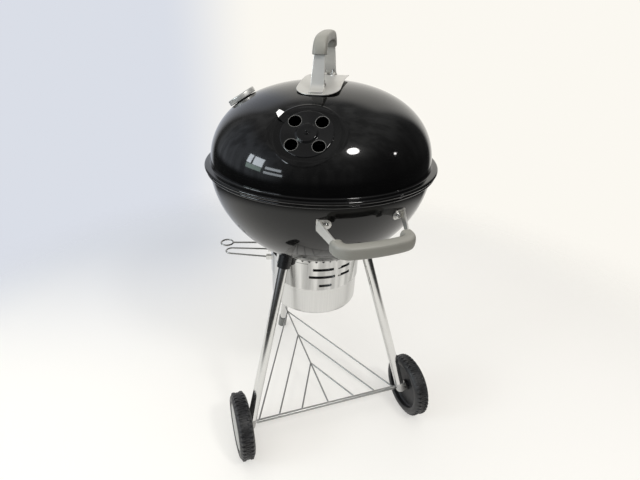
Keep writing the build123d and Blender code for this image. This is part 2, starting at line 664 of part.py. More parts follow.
socket_screws = []
sockets = {}
legs = {}
for name, facing in leg_names.items():
    tip = leg_at(facing, LEG_TOP_Z + SOCKET_DEEP)
    socket = rod(leg_at(facing, LEG_TOP_Z), leg_at(facing, LEG_TOP_Z + 55), SOCKET_R) - bowl_full
    socket = socket - rod(leg_at(facing, LEG_TOP_Z - 5), tip, LEG_R + FIT) - bar(CAN_R + CAN_CLEAR, 0, RIM_Z)
    low = 8.0 if name == "back" else fit_top
    leg = rod(leg_at(facing, low), tip, LEG_R) - rod(leg_at(facing, low - 5), leg_at(facing, LEG_TOP_Z + 40),
                                                     LEG_R - LEG_WALL)
    hidden_side = heading(facing)[1] * (-1 if name == "left" else 1)
    frame = Plane(origin=leg_at(facing, LEG_TOP_Z + SOCKET_DEEP / 2), z_dir=hidden_side)
    bolt = bar(2.5, LEG_R - LEG_WALL - 4, SOCKET_R + 1) + button_head(4.5, SOCKET_R + 0.4, 2.4)
    socket_screws.append(frame * bolt)
    sockets[name] = socket - frame * bar(2.5 + FIT, 0, 40)
    legs[name] = leg - frame * bar(2.5 + FIT, 0, 40)
legs["back"] = legs["back"] - rod(rack_at(0, rack_back - 30), rack_at(0, rack_back), RACK_WIRE + FIT)
for name in leg_names:
    save("leg_socket_" + name, sockets[name])
    save("leg_" + name, legs[name])
save("socket_screws", socket_screws)
fit_r = LEG_R + 0.6
fit_below = 5.0
for name, sign in (("left", -1), ("right", 1)):
    facing = leg_names[name]
    end = leg_at(facing, axle_z - fit_below)
    fitting = rod(leg_at(facing, fit_top - FIT), end, fit_r) + Pos(end) * Sphere(fit_r)
    fitting = fitting + rod(leg_at(facing, fit_top - 1), leg_at(facing, fit_top + 24), LEG_R - LEG_WALL - FIT)
    fitting = fitting - rod((sign * hub.X - 40, hub.Y, axle_z), (sign * hub.X + 40, hub.Y, axle_z), AXLE_R + FIT)
    save("axle_fitting_" + name, fitting)
foot_r = LEG_R + 2.0
foot = rod(leg_at(180, 44), leg_at(180, -20), foot_r)
foot = foot - rod(leg_at(180, 8 - FIT), leg_at(180, 60), LEG_R + FIT) - Pos(0, 0, -60) * Box(900, 900, 120)
save("foot_cap_back", foot)

# Axle and wheels.
washer_t = 1.5
washer_x = leg_at(LEG_HALF, axle_z - fit_below).X + fit_r + FIT
boss_x = washer_x + washer_t + PLAY
wheel_x = hub.X + 4.0
boss = boss_x - wheel_x
cap_r = WHEEL_R - 20
clip_x = 29.4
axle_end = wheel_x + clip_x + 2.2
save("axle", rod((-axle_end, hub.Y, axle_z), (axle_end, hub.Y, axle_z), AXLE_R))
ring_washer = turned_about_x([(0, AXLE_R + FIT), (washer_t, AXLE_R + FIT), (washer_t, 11), (0, 11)])
push_nut = turned_about_x([(0, AXLE_R + FIT), (1.6, AXLE_R + FIT), (1.6, 10.5), (0, 10.5)])
both_washers = []
both_clips = []
for sign in (-1, 1):
    washer_at = washer_x if sign > 0 else -washer_x - washer_t
    clip_at = wheel_x + clip_x if sign > 0 else -wheel_x - clip_x - 1.6
    both_washers.append(Pos(washer_at, hub.Y, axle_z) * ring_washer)
    both_clips.append(Pos(clip_at, hub.Y, axle_z) * push_nut)
save("axle_washers", both_washers)
save("axle_clips", both_clips)
wheel = turned_about_x([
    (boss, AXLE_R + RUN_FIT), (boss, 13), (15, 13), (15, cap_r), (0, cap_r), (0, WHEEL_R - 10), (2, WHEEL_R - 4.5),
    (7, WHEEL_R), (WHEEL_W - 7, WHEEL_R), (WHEEL_W - 2, WHEEL_R - 4.5), (WHEEL_W, WHEEL_R - 10), (WHEEL_W, cap_r),
    (20, cap_r), (20, 13), (29, 13), (29, AXLE_R + RUN_FIT)])
notch = Box(11, 5.4, 9)
notches = []
lugs_round = 36
for index in range(lugs_round):
    step = 360 / lugs_round
    notches.append(Rot(index * step, 0, 0) * Pos(2, 0, WHEEL_R) * notch)
    notches.append(Rot((index + 0.5) * step, 0, 0) * Pos(WHEEL_W - 2, 0, WHEEL_R) * notch)
wheel = wheel - notches
hub_cap = turned_about_x([
    (20 + FIT, cap_r - 2.4), (20 + FIT, cap_r - FIT), (WHEEL_W - 3, cap_r - FIT), (WHEEL_W - 1.4, cap_r - 6),
    (WHEEL_W - 0.4, 24), (WHEEL_W, 0), (WHEEL_W - 2.6, 0), (WHEEL_W - 3, 24), (WHEEL_W - 4, cap_r - 6),
    (WHEEL_W - 5, cap_r - 2.4)])
right_wheel = Pos(wheel_x, hub.Y, axle_z) * wheel
right_cap = Pos(wheel_x, hub.Y, axle_z) * hub_cap
save("wheel_right", right_wheel)
save("hub_cap_right", right_cap)
save("wheel_left", mirror(right_wheel, about=Plane.YZ))
save("hub_cap_left", mirror(right_cap, about=Plane.YZ))

# Wire rack between the legs, on a tube around the axle.
rack_apex = rack_back - LEG_R - RACK_APEX
rack_x = hub.X - fit_r - 3.0
tube_r = AXLE_R + FIT + RACK_TUBE


def rack_spot(x, share):
    return rack_at(x, rack_front + (rack_apex - rack_front) * share)


wires = [rod((-rack_x, hub.Y, axle_z), (rack_x, hub.Y, axle_z), tube_r),
         rod(rack_spot(0, 0), rack_at(0, rack_back - LEG_R + 3), RACK_WIRE),
         Pos(rack_spot(0, 1)) * Sphere(RACK_WIRE)]
for sign in (-1, 1):
    wires.append(rod(rack_spot(0, 1), rack_spot(sign * (rack_x - RACK_WIRE - 2), 0), RACK_WIRE))
    wires.append(rod(rack_spot(0, 0.697), rack_spot(sign * hub.X * 0.652, 0), RACK_WIRE))
    wires.append(rod(rack_spot(0, 0.381), rack_spot(sign * hub.X * 0.36, 0), RACK_WIRE))
rack = wires[0] + wires[1:]
save("wire_rack", rack - rod((-hub.X, hub.Y, axle_z), (hub.X, hub.Y, axle_z), AXLE_R + FIT))
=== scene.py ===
"""Looks of a kettle charcoal grill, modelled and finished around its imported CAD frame."""

import json
import math

import bmesh
import bpy
from bpy.props import FloatProperty, FloatVectorProperty, IntProperty, PointerProperty
from bpy.types import Operator, Panel, PropertyGroup
from mathutils import Matrix, Vector


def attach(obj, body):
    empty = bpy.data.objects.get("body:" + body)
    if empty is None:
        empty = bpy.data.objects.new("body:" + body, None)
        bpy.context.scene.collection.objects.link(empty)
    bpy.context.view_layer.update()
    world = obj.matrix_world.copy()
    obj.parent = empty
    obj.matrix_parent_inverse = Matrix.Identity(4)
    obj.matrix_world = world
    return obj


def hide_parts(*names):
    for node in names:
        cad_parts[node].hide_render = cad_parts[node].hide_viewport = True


bl_info = {
    "name": "Kettle Grill Looks",
    "version": (1, 0, 0),
    "blender": (4, 5, 0),
    "location": "View3D > Sidebar > Kettle Grill",
    "description": "Models and finishes a kettle charcoal grill around its CAD frame",
    "category": "Add Mesh",
}

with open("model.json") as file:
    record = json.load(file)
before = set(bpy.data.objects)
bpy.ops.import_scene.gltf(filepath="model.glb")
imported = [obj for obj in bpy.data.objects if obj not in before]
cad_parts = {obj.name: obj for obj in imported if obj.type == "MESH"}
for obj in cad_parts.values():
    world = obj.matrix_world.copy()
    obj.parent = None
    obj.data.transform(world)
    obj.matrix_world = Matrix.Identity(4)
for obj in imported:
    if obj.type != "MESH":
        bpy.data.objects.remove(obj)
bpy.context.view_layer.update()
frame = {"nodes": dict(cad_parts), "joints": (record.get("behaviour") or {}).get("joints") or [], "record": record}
JOINTS = {joint["name"]: joint for joint in frame["joints"]}
SLOT_OF_NODE = {part["node"]: part["material_slot"] for part in frame["record"]["subparts"]}
UP = Vector((0.0, 0.0, 1.0))
CRISP = 20.0
RIM_GAP = 0.0004
SCREEN_RIGHT = Vector((0.9625, -0.2714, 0.0))
ROUND_BOX = ((1, 0.6), (0.66, 1), (-0.66, 1), (-1, 0.6), (-1, -0.6), (-0.66, -1), (0.66, -1), (1, -0.6))
FINISHES = {}


# Places on the grill


def heading(degrees):
    """Level direction, counted from the front towards the right."""
    turn = math.radians(degrees)
    return Vector((math.sin(turn), -math.cos(turn), 0.0))


def stand(origin, axis, across):
    """Matrix that takes a shape's own z to axis and its x to across, at origin."""
    z = Vector(axis).normalized()
    x = (Vector(across) - z * z.dot(across)).normalized()
    turned = Matrix((x, z.cross(x), z)).transposed().to_4x4()
    return Matrix.Translation(origin) @ turned


def lid_place(joint):
    """Where a turning piece sits on the lid: z out of the lid, x level to the right."""
    axis = Vector(JOINTS[joint]["axis"])
    return stand(Vector(JOINTS[joint]["pos_m"]), axis, UP.cross(axis))


def vent_place():
    return lid_place("damper_turn")


def dial_place():
    return lid_place("needle_turn")


def lid_handle_place(handles, kettle):
    """The lid handle: x towards the damper, z up, leaning forward with the plate."""
    out = heading(handles.lid_heading)
    lean = handles.lid_lean
    along = out * math.cos(lean) - UP * math.sin(lean)
    axis = out * math.sin(lean) + UP * math.cos(lean)
    crown = kettle.rim_height + kettle.edge + kettle.lid_height
    right = heading(handles.lid_heading + 90.0)
    origin = out * handles.lid_forward + right * handles.lid_side + UP * (crown + handles.plate_lift)
    return stand(origin, axis, along)


# Shapes


def arc(x, y, radius, start, end, steps):
    """Points of an arc, its angles in degrees."""
    turns = [math.radians(start + (end - start) * step / steps) for step in range(steps + 1)]
    return [(x + radius * math.cos(turn), y + radius * math.sin(turn)) for turn in turns]


def chain(bm, points, closed=False):
    """Edges through points, in order."""
    verts = [bm.verts.new(point) for point in points]
    after = verts[1:] + verts[:1] if closed else verts[1:]
    edges = [bm.edges.new(pair) for pair in zip(verts, after)]
    return verts, edges


def face_out(bm):
    bmesh.ops.recalc_face_normals(bm, faces=bm.faces)


def link(thing):
    bpy.context.scene.collection.objects.link(thing)


def turn_round(bm, verts, edges, steps):
    """Spins edges all the way round z and closes the seam and the poles."""
    bmesh.ops.spin(bm, geom=verts + edges, cent=(0, 0, 0), axis=(0, 0, 1), angle=math.tau, steps=steps,
                   use_merge=True)
    bmesh.ops.remove_doubles(bm, verts=bm.verts, dist=1e-6)


def lathe(outline, steps, closed=False):
    """A shape turned from an outline of (radius, height) pairs."""
    bm = bmesh.new()
    verts, edges = chain(bm, [(radius, 0.0, height) for radius, height in outline], closed)
    turn_round(bm, verts, edges, steps)
    face_out(bm)
    return bm


def plate_of(points, depth):
    """A flat face through points in x and y, raised along z by depth."""
    bm = bmesh.new()
    face = bm.faces.new([bm.verts.new((x, y, 0.0)) for x, y in points])
    raised = bmesh.ops.extrude_face_region(bm, geom=[face])
    bmesh.ops.translate(bm, vec=(0, 0, depth), verts=only_verts(raised["geom"]))
    face_out(bm)
    return bm


def only_verts(geometry):
    return [item for item in geometry if isinstance(item, bmesh.types.BMVert)]


def strip_of(path, width):
    """An open strip along a path of (x, z) pairs, its width along y."""
    bm = bmesh.new()
    edges = chain(bm, [(x, -width / 2, z) for x, z in path])[1]
    swept = bmesh.ops.extrude_edge_only(bm, edges=edges)
    bmesh.ops.translate(bm, vec=(0, width, 0), verts=only_verts(swept["geom"]))
    return bm


def soften(bm, width, segments, over):
    """Rounds every edge that turns by more than an angle in degrees."""
    limit = math.radians(over)
    sharp = [edge for edge in bm.edges if edge.is_manifold and edge.calc_face_angle() > limit]
    bevel(bm, sharp, width, segments, clamp_overlap=True)


def bevel(bm, parts, width, segments, **more):
    """Rounds given edges or corners."""
    bmesh.ops.bevel(bm, geom=parts, offset=width, offset_type="OFFSET", segments=segments, profile=0.5,
                    material=-1, **{"affect": "EDGES", **more})


def loft(sections):
    """A closed skin over rings of points, each ring with the same count."""
    bm = bmesh.new()
    rings = []
    for ring in sections:
        rings.append(chain(bm, ring, closed=True)[1])
    for first, second in zip(rings, rings[1:]):
        bmesh.ops.bridge_loops(bm, edges=first + second)
    bmesh.ops.holes_fill(bm, edges=rings[0] + rings[-1], sides=0)
    face_out(bm)
    return bm


def crease_ends(bm, weight):
    """Keeps the rim of every many-sided end face crisp under subdivision."""
    layer = bm.edges.layers.float.new("crease_edge")
    for face in bm.faces:
        if len(face.edges) > 4:
            for edge in face.edges:
                edge[layer] = weight


def join(bm, other, place=None):
    """Adds another shape to a shape, at a place, and frees it."""
    mesh = bpy.data.meshes.new("part")
    other.to_mesh(mesh)
    other.free()
    if place is not None:
        mesh.transform(place)
    bm.from_mesh(mesh)
    bpy.data.meshes.remove(mesh)
    return bm


def with_modifier(bm, kind, settings):
    """A shape after one modifier."""
    mesh = bpy.data.meshes.new("rough")
    bm.to_mesh(mesh)
    bm.free()
    rough = bpy.data.objects.new("rough", mesh)
    link(rough)
    modifier = rough.modifiers.new(kind, kind)
    for name, value in settings.items():
        setattr(modifier, name, value)
    graph = bpy.context.evaluated_depsgraph_get()
    made = bpy.data.meshes.new_from_object(rough.evaluated_get(graph))
    bm = bmesh.new()
    bm.from_mesh(made)
    bpy.data.objects.remove(rough)
    bpy.data.meshes.remove(mesh)
    bpy.data.meshes.remove(made)
    return bm


def thicken(bm, sheet):
    """A sheet with its thickness, inwards from its faces."""
    return with_modifier(bm, "SOLIDIFY", {"thickness": sheet, "offset": -1.0})


def smooth_out(bm):
    return with_modifier(bm, "SUBSURF", {"levels": 3, "render_levels": 3})


def carve(bm, cutter):
    """A shape less the volume of another."""
    mesh = bpy.data.meshes.new("cutter")
    cutter.to_mesh(mesh)
    cutter.free()
    tool = bpy.data.objects.new("cutter", mesh)
    link(tool)
    bm = with_modifier(bm, "BOOLEAN", {"operation": "DIFFERENCE", "solver": "EXACT", "object": tool})
    bpy.data.objects.remove(tool)
    bpy.data.meshes.remove(mesh)
    return bm


def place_piece(bm, name, body, slot, stands_for=(), place=None, sharp=40.0):
    """Makes a shape a piece of the grill that rides on a body and stands for CAD nodes."""
    if place is not None:
        bm.transform(place)
    for edge in bm.edges:
        edge.smooth = not edge.is_manifold or edge.calc_face_angle() < math.radians(sharp)
    for face in bm.faces:
        face.smooth = True
    mesh = bpy.data.meshes.new(name)
    bm.to_mesh(mesh)
    bm.free()
    mesh.materials.append(FINISHES[slot])
    piece = bpy.data.objects.new(name, mesh)
    link(piece)
    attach(piece, body)
    if stands_for:
        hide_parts(*stands_for)
    return piece


# Shader maths


class Wire:
    """A shader socket; arithmetic on it adds Math nodes."""

    def __init__(self, finish, socket):
        self.finish = finish
        self.socket = socket

    def maths(self, operation, *values):
        return self.finish.node("Math", {"operation": operation}, dict(enumerate(values)))

    def __add__(self, other):
        return self.maths("ADD", self, other)

    def __sub__(self, other):
        return self.maths("SUBTRACT", self, other)

    def __rsub__(self, other):
        return self.maths("SUBTRACT", other, self)

    def __mul__(self, other):
        return self.maths("MULTIPLY", self, other)

    def __truediv__(self, other):
        return self.maths("DIVIDE", self, other)

    def __pow__(self, other):
        return self.maths("POWER", self, other)

    def __gt__(self, other):
        return self.maths("GREATER_THAN", self, other)

    def __lt__(self, other):
        return self.maths("LESS_THAN", self, other)

    def __abs__(self):
        return self.maths("ABSOLUTE", self)



class Finish:
    """One node tree in the making."""

    def __init__(self, tree):
        self.tree = tree
        tree.nodes.clear()

    def node(self, kind, settings=None, inputs=None, out=0):
        """Adds a node, sets it up, feeds its inputs and gives one of its outputs."""
        made = self.tree.nodes.new("ShaderNode" + kind)
        for name, value in (settings or {}).items():
            if name == "stops":
                self.set_stops(made.color_ramp, value)
            else:
                setattr(made, name, value)
        for key, value in (inputs or {}).items():
            if isinstance(value, Wire):
                self.tree.links.new(value.socket, made.inputs[key])
            else:
                made.inputs[key].default_value = value
        return Wire(self, made.outputs[out]) if made.outputs else None

    @staticmethod
    def set_stops(ramp, stops):
        while len(ramp.elements) < len(stops):
            ramp.elements.new(1.0)
        for element, (position, colour) in zip(ramp.elements, stops):
            element.position = position
            element.color = colour

    def point(self):
        return self.node("TexCoord", out="Object")

    def split(self, vector):
        """The x, y and z of a vector."""
        made = self.node("SeparateXYZ", None, {0: vector})
        return [Wire(self, output) for output in made.socket.node.outputs]

    def within(self, point, place):
        """The x, y and z of a point as seen from a place."""
        x, y, z = self.split(point)
        return [x * row[0] + y * row[1] + z * row[2] + row[3] for row in place.inverted()[:3]]

    def gather(self, x, y, z):
        return self.node("CombineXYZ", None, {0: x, 1: y, 2: z})

    def noise(self, vector, scale, detail=3.0):
        return self.node("TexNoise", None, {"Vector": vector, "Scale": scale, "Detail": detail}, out="Fac")

    def mix(self, factor, first, second):
        return self.node("Mix", {"data_type": "RGBA"}, {0: factor, 6: first, 7: second}, out=2)

    def step(self, value, low, high):
        """0 below low, 1 above high, smooth between."""
        return self.node("MapRange", {"interpolation_type": "SMOOTHSTEP"}, {0: value, 1: low, 2: high})

    def seen(self):
        """1 for what the camera sees straight on, in metal or through glass."""
        path = self.node("LightPath", out="Is Camera Ray").socket.node
        kinds = ("Camera", "Glossy", "Transmission")
        camera, gloss, glass = [Wire(self, path.outputs["Is %s Ray" % kind]) for kind in kinds]
        return camera + gloss + glass

    def bump(self, height, distance):
        return self.node("Bump", None, {"Distance": distance, "Height": height})

    def surface(self, inputs):
        shader = self.node("BsdfPrincipled", None, inputs)
        self.node("OutputMaterial", None, {"Surface": shader})


def shade(colour, factor):
    """A colour made darker or lighter, with an alpha of 1."""
    return tuple(min(1.0, channel * factor) for channel in colour[:3]) + (1.0,)


# Finishes


def enamel(f, colour):
    """Fired enamel: deep gloss with a faint orange peel and a few dull specks."""
    point = f.point()
    peel = f.noise(point, 38.0, 2.0)
    specks = f.step(f.noise(point, 900.0, 2.0), 0.66, 0.72)
    haze = f.noise(point, 7.0, 4.0)
    f.surface({
        "Base Color": f.mix(specks * 0.5, shade(colour, 0.14), shade(colour, 0.6)),
        "Roughness": haze * 0.05 + specks * 0.06 + 0.025,
        "IOR": 1.42,
        "Coat Weight": 0.1,
        "Coat Roughness": 0.3,
        "Normal": f.bump(peel, 0.00003),
    })


def damper_paint(f, colour):
    """Stove enamel on the damper, softer than the shells, with a painted highlight: a pale ring round the rims of
    the air holes.
    """
    point = f.point()
    grain = f.noise(point, 420.0, 2.0)
    size = bpy.context.scene.kettle_sizes
    across, along, _ = f.within(point, vent_place())
    out_x = abs(across) - size.hole_pitch * math.sqrt(0.5)
    out_y = abs(along) - size.hole_pitch * math.sqrt(0.5)
    reach = (out_x * out_x + out_y * out_y) ** 0.5
    # Painted highlight: a pale ring of colour round each air hole's rim, mixed into the base colour.
    painted_rim_highlight = 1.0 - f.step(reach, size.hole_radius + 0.0002, size.hole_radius + 0.001)
    paint = f.mix(f.noise(point, 40.0), shade(colour, 0.2), shade(colour, 0.5))
    f.surface({
        "Base Color": f.mix(painted_rim_highlight, paint, (0.17, 0.167, 0.16, 1.0)),
        "Roughness": f.noise(point, 25.0) * 0.08 + 0.05,
        "IOR": 1.42,
        "Normal": f.bump(grain, 0.000004),
    })


def satin_steel(f, colour):
    """Rolled steel strip with fine grain lines across and faint handling marks."""
    point = f.point()
    x, y, z = f.split(point)
    lines = f.noise(f.gather(x * 6.0, y * 900.0, z * 900.0), 1.0, 3.0)
    marks = f.noise(point, 45.0, 5.0)
    f.surface({
        "Base Color": f.mix(marks, shade(colour, 1.02), shade(colour, 1.22)),
        "Metallic": 0.7,
        "Roughness": lines * 0.14 + marks * 0.1 + 0.3,
        "Normal": f.bump(lines, 0.000012),
    })


def moulded_grip(f, colour):
    """Warm grey moulded plastic with a fine spark-eroded grain."""
    point = f.point()
    grain = f.noise(point, 1400.0, 2.0)
    patches = f.noise(point, 16.0, 4.0)
    f.surface({
        "Base Color": f.mix(patches, shade(colour, 1.02), shade(colour, 1.24)),
        "Roughness": patches * 0.12 + 0.36,
        "IOR": 1.48,
        "Normal": f.bump(grain, 0.00006),
    })


def plated(f, colour, rough):
    """Bright plating with small changes of tone."""
    point = f.point()
    tone = f.noise(point, 120.0, 4.0)
    f.surface({
        "Base Color": f.mix(tone, shade(colour, 0.85), shade(colour, 1.1)),
        "Metallic": 1.0,
        "Roughness": tone * 0.15 + rough,
        "Normal": f.bump(f.noise(point, 700.0, 2.0), 0.000008),
    })


def can_sheet(f, colour):
    """Drawn aluminium: upright polish marks, brighter and smoother on the upper ring, with painted dark
    reflections in broad patches there.
    """
    x, y, z = f.split(f.point())
    turn = y.maths("ARCTAN2", y, x)
    streaks = f.noise(f.gather(turn * 60.0, z * 5.0, 0.0), 1.0, 5.0)
    fine = f.noise(f.gather(turn * 420.0, z * 12.0, 0.0), 1.0, 2.0)
    upper = f.step(z, 0.399, 0.403)
    # Painted dark reflections: broad darker patches in the base colour of the upper ring.
    painted_dark_reflection = f.step(f.noise(f.gather(turn * 3.0, z * 2.0, 2.0), 1.0, 3.0), 0.4, 0.62) * upper
    sheet = f.mix(streaks, shade(colour, 0.8), shade(colour, 1.1))
    f.surface({
        "Base Color": f.mix(painted_dark_reflection * 0.6, sheet, shade(colour, 0.3)),
        "Metallic": 1.0,
        "Roughness": streaks * 0.1 + fine * 0.06 + 0.24 - upper * 0.17,
        "Normal": f.bump((fine * 0.4 + streaks * 0.6) * (1.0 - upper * 0.7), 0.00003),
    })


def drawn_tube(f, colour):
    """Polished tube with drawing lines along it."""
    x, y, z = f.split(f.point())
    lines = f.noise(f.gather(x * 700.0, y * 700.0, z * 6.0), 1.0, 3.0)
    tone = f.noise(f.point(), 14.0, 3.0)
    f.surface({
        "Base Color": f.mix(tone, shade(colour, 0.92), shade(colour, 1.06)),
        "Metallic": 1.0,
        "Roughness": lines * 0.08 + tone * 0.05 + 0.08,
        "Normal": f.bump(lines, 0.000004),
    })


def wheel_plastic(f, colour):
    """Black moulded plastic, dusty on the tread."""
    point = f.point()
    dust = f.step(f.noise(point, 55.0, 6.0), 0.42, 0.75)
    grain = f.noise(point, 1100.0, 2.0)
    f.surface({
        "Base Color": f.mix(dust, shade(colour, 1.0), shade(colour, 2.2)),
        "Roughness": dust * 0.15 + 0.42,
        "Normal": f.bump(grain, 0.00005),
    })


def plain_moulding(f, colour, rough):
    """Smooth moulded plastic with a light grain."""
    point = f.point()
    tone = f.noise(point, 30.0, 4.0)
    f.surface({
        "Base Color": f.mix(tone, shade(colour, 0.88), shade(colour, 1.1)),
        "Roughness": tone * 0.1 + rough,
        "Normal": f.bump(f.noise(point, 900.0, 2.0), 0.00003),
    })


def dial_print(f, colour):
    """White dial with a ring of tick marks and a warm and a hot zone."""
    x, y, _ = f.within(f.point(), dial_place())
    reach = (x * x + y * y) ** 0.5
    turn = y.maths("ARCTAN2", y, x)
    span = math.radians(135.0)
    around = x.maths("ARCTAN2", x, y)
    inside = abs(around) < span
    fine = abs(turn.maths("SINE", turn * 30.0)) < 0.2
    bold = abs(turn.maths("SINE", turn * 6.0)) < 0.07
    ticks = fine * (reach > 0.0225) * (reach < 0.0246)
    strokes = bold * (reach > 0.0195) * (reach < 0.0246)
    marks = ticks.maths("MAXIMUM", ticks, strokes) * inside
    zone = (reach > 0.0158) * (reach < 0.0182) * inside
    warm = zone * (around > -0.6) * (around < 0.75)
    hot = zone * (around > 0.75)
    base = f.mix(warm, shade(colour, 1.0), (0.75, 0.36, 0.04, 1.0))
    base = f.mix(hot, base, (0.55, 0.04, 0.02, 1.0))
    f.surface({
        "Base Color": f.mix(marks, base, (0.02, 0.02, 0.02, 1.0)),
        "Roughness": f.noise(f.point(), 300.0) * 0.2 + 0.35,
    })


def lens(f, colour):
    """Clear glass with faint smears."""
    smears = f.noise(f.point(), 90.0, 4.0)
    f.surface({
        "Base Color": shade(colour, 1.0),
        "Roughness": smears * 0.05,
        "Transmission Weight": 1.0,
        "IOR": 1.45,
    })


FINISH_MAKERS = {
    "enamel_black": (enamel,),
    "damper_black": (damper_paint,),
    "plate_steel": (satin_steel,),
    "grip_grey": (moulded_grip,),
    "fastener_steel": (plated, 0.18),
    "can_metal": (can_sheet,),
    "wire_steel": (plated, 0.26),
    "grate_steel": (plated, 0.24),
    "leg_tube": (drawn_tube,),
    "fitting_grey": (plain_moulding, 0.35),
    "foot_grey": (plain_moulding, 0.35),
    "axle_chrome": (plated, 0.06),
    "wheel_black": (wheel_plastic,),
    "cap_grey": (plain_moulding, 0.38),
    "socket_black": (plain_moulding, 0.22),
    "dial_case": (satin_steel,),
    "dial_white": (dial_print,),
    "dial_needle": (plain_moulding, 0.4),
    "dial_glass": (lens,),
}


# Settings


def number(label, about, value, **more):
    """A plain setting."""
    return FloatProperty(name=label, description=about, default=value, **more)


def length(label, about, value):
    """A setting in metres."""
    return number(label, about, value, unit="LENGTH")


def angle(label, about, degrees):
    return number(label, about, math.radians(degrees), subtype="ANGLE")


class KettleSizes(PropertyGroup):
    """Sizes of the lid and the bowl."""

    rim_radius: length("Rim radius", "Outside of the rolled edges", 0.242)
    rim_height: length("Rim height", "Where lid and bowl meet", 0.6678)
    edge: length("Straight edge", "Plain wall next to the meeting height", 0.005)
    sheet: length("Sheet", "Wall thickness", 0.0015)
    lid_height: length("Lid height", "Dome above its edge", 0.1574)
    lid_power: number("Lid roundness", "Higher is flatter on top", 2.23)
    lid_inset: length("Lid inset", "Rim less dome radius", 0.0133)
    lid_bead: length("Lid bead", "Rolled edge radius of the lid", 0.0036)
    bowl_height: length("Bowl depth", "Bowl below its edge", 0.2115)
    bowl_power: number("Bowl roundness", "Lower is more pointed", 1.87)
    bowl_inset: length("Bowl inset", "Rim less bowl radius", 0.0123)
    bowl_bead: length("Bowl bead", "Rolled edge radius of the bowl", 0.0032)
    seat_ridge: length("Seat ridge", "Height of the pressed ring round the damper seat", 0.00045)
    seat_blend: length("Seat blend", "Softness of the damper seat's edge", 0.0008)
    seat_reach: length("Seat reach", "Fine mesh around the damper", 0.075)
    damper_radius: length("Damper radius", "Edge of the damper disc", 0.046)
    hole_pitch: length("Hole pitch", "Air holes from the damper's middle", 0.033)
    hole_radius: length("Hole radius", "Air hole radius", 0.0113)


class HandleSizes(PropertyGroup):
    """Sizes of the lid handle and the bowl handles."""

    lid_heading: number("Lid handle heading", "From the front, in degrees", -31.4)
    lid_lean: angle("Lean", "Forward lean of the lid handle", 3.1)
    lid_forward: length("Forward", "Handle in front of the lid's axis", 0.0072)
    lid_side: length("Side", "Handle to the right of the lid's axis", 0.006)
    plate_lift: length("Plate lift", "Plate above the crown", 0.0059)
    plate_length: length("Plate length", "Heat plate length", 0.185)
    plate_width: length("Plate width", "Heat plate width", 0.0815)
    plate_corner: length("Plate corner", "Corner radius of the plate", 0.031)
    plate_bend: length("Plate bend", "Radius of the plate's curve", 0.389)
    plate_sheet: length("Plate sheet", "Heat plate thickness", 0.0015)
    strap_half: length("Strap half", "Strap leg from the handle's middle", 0.0745)
    strap_splay: length("Strap splay", "Inward lean of the legs over their height", 0.0165)
    strap_foot: length("Strap foot", "Turned-out end of the strip", 0.015)
    strap_height: length("Strap height", "Strap top above the plate", 0.075)
    strap_width: length("Strap width", "Width of the bent strip at the plate", 0.026)
    strap_top: length("Strap top width", "Width of the bent strip in the grip", 0.017)
    strap_sheet: length("Strap sheet", "Thickness of the bent strip", 0.003)
    grip_top: length("Lid grip top", "Grip top above the plate", 0.085)
    grip_low: length("Lid grip ends", "Grip ends above the plate", 0.0515)
    grip_width: length("Lid grip width", "Grip across", 0.026)
    bar_height: length("Bar height", "Bowl grips above the floor", 0.606)
    bar_out: length("Bar reach", "Bowl grips from the kettle's axis", 0.283)
    bar_end: length("Bar end", "Grip ends from the kettle's axis", 0.254)
    bar_half: length("Bar half", "Grip ends from the middle", 0.065)
    bar_corner: length("Bar corner", "Corner radius of the bowl grips", 0.018)
    bar_thick: length("Bar thickness", "Bowl grips in and out", 0.022)
    bar_tall: length("Bar tallness", "Bowl grips up and down", 0.025)


class WheelSizes(PropertyGroup):
    """Sizes of the two wheels."""

    radius: length("Radius", "Over the tread blocks", 0.076)
    width: length("Width", "Along the axle", 0.036)
    hub: length("Hub opening", "Radius of the dished middle", 0.056)
    inner_x: length("Inner face", "Inner face from the middle", 0.20413)
    axle_y: length("Axle place", "Axle in y", -0.140133)
    lugs: IntProperty(name="Lugs", description="Tread blocks on each shoulder", default=42, min=8)


class StageSettings(PropertyGroup):
    """Camera and light."""

    camera_at: FloatVectorProperty(name="Camera", description="Camera place",
                                   default=(-0.3228, -0.8055, 0.9528), subtype="TRANSLATION")
    camera_back: FloatVectorProperty(name="Back", description="From the view point to the camera",
                                     default=(-0.2409, -0.8544, 0.4604), subtype="DIRECTION")
    roll: angle("Roll", "Camera roll", -0.39)
    lens: number("Lens", "Focal length in millimetres", 23.48)
    shift: FloatVectorProperty(name="Shift", description="Lens shift", size=2, default=(0.06884, -0.01934))
    floor: FloatVectorProperty(name="Floor", description="Floor colour", default=(0.985, 0.965, 0.925),
                               subtype="COLOR", min=0.0, max=1.0)
    key: number("Key", "Lamp at the front, in watts", 18.0)
    overhead: number("Overhead", "Soft light from above, in watts", 37.0)
    window: number("Window", "Light from the left, in watts", 25.0)


# Pieces


class GrillOperator:
    """What all the operators share."""

    bl_options = {"REGISTER", "UNDO"}

    kettle = property(lambda self: bpy.context.scene.kettle_sizes)
    handles = property(lambda self: bpy.context.scene.kettle_handles)
    wheels = property(lambda self: bpy.context.scene.kettle_wheels)
    stage = property(lambda self: bpy.context.scene.kettle_stage)


class KETTLE_OT_finishes(GrillOperator, Operator):
    """Makes every finish and puts it on the CAD parts"""

    bl_idname = "kettle.finishes"
    bl_label = "Finishes"

    def execute(self, context):
        for entry in frame["record"]["materials"]:
            slot = entry["slot"]
            maker, *extra = FINISH_MAKERS[slot]
            material = bpy.data.materials.new(slot)
            material.use_nodes = True
            maker(Finish(material.node_tree), tuple(entry["base_color"]), *extra)
            FINISHES[slot] = material
        for name, node in frame["nodes"].items():
            node.data.materials.clear()
            node.data.materials.append(FINISHES[SLOT_OF_NODE[name]])
        return {"FINISHED"}


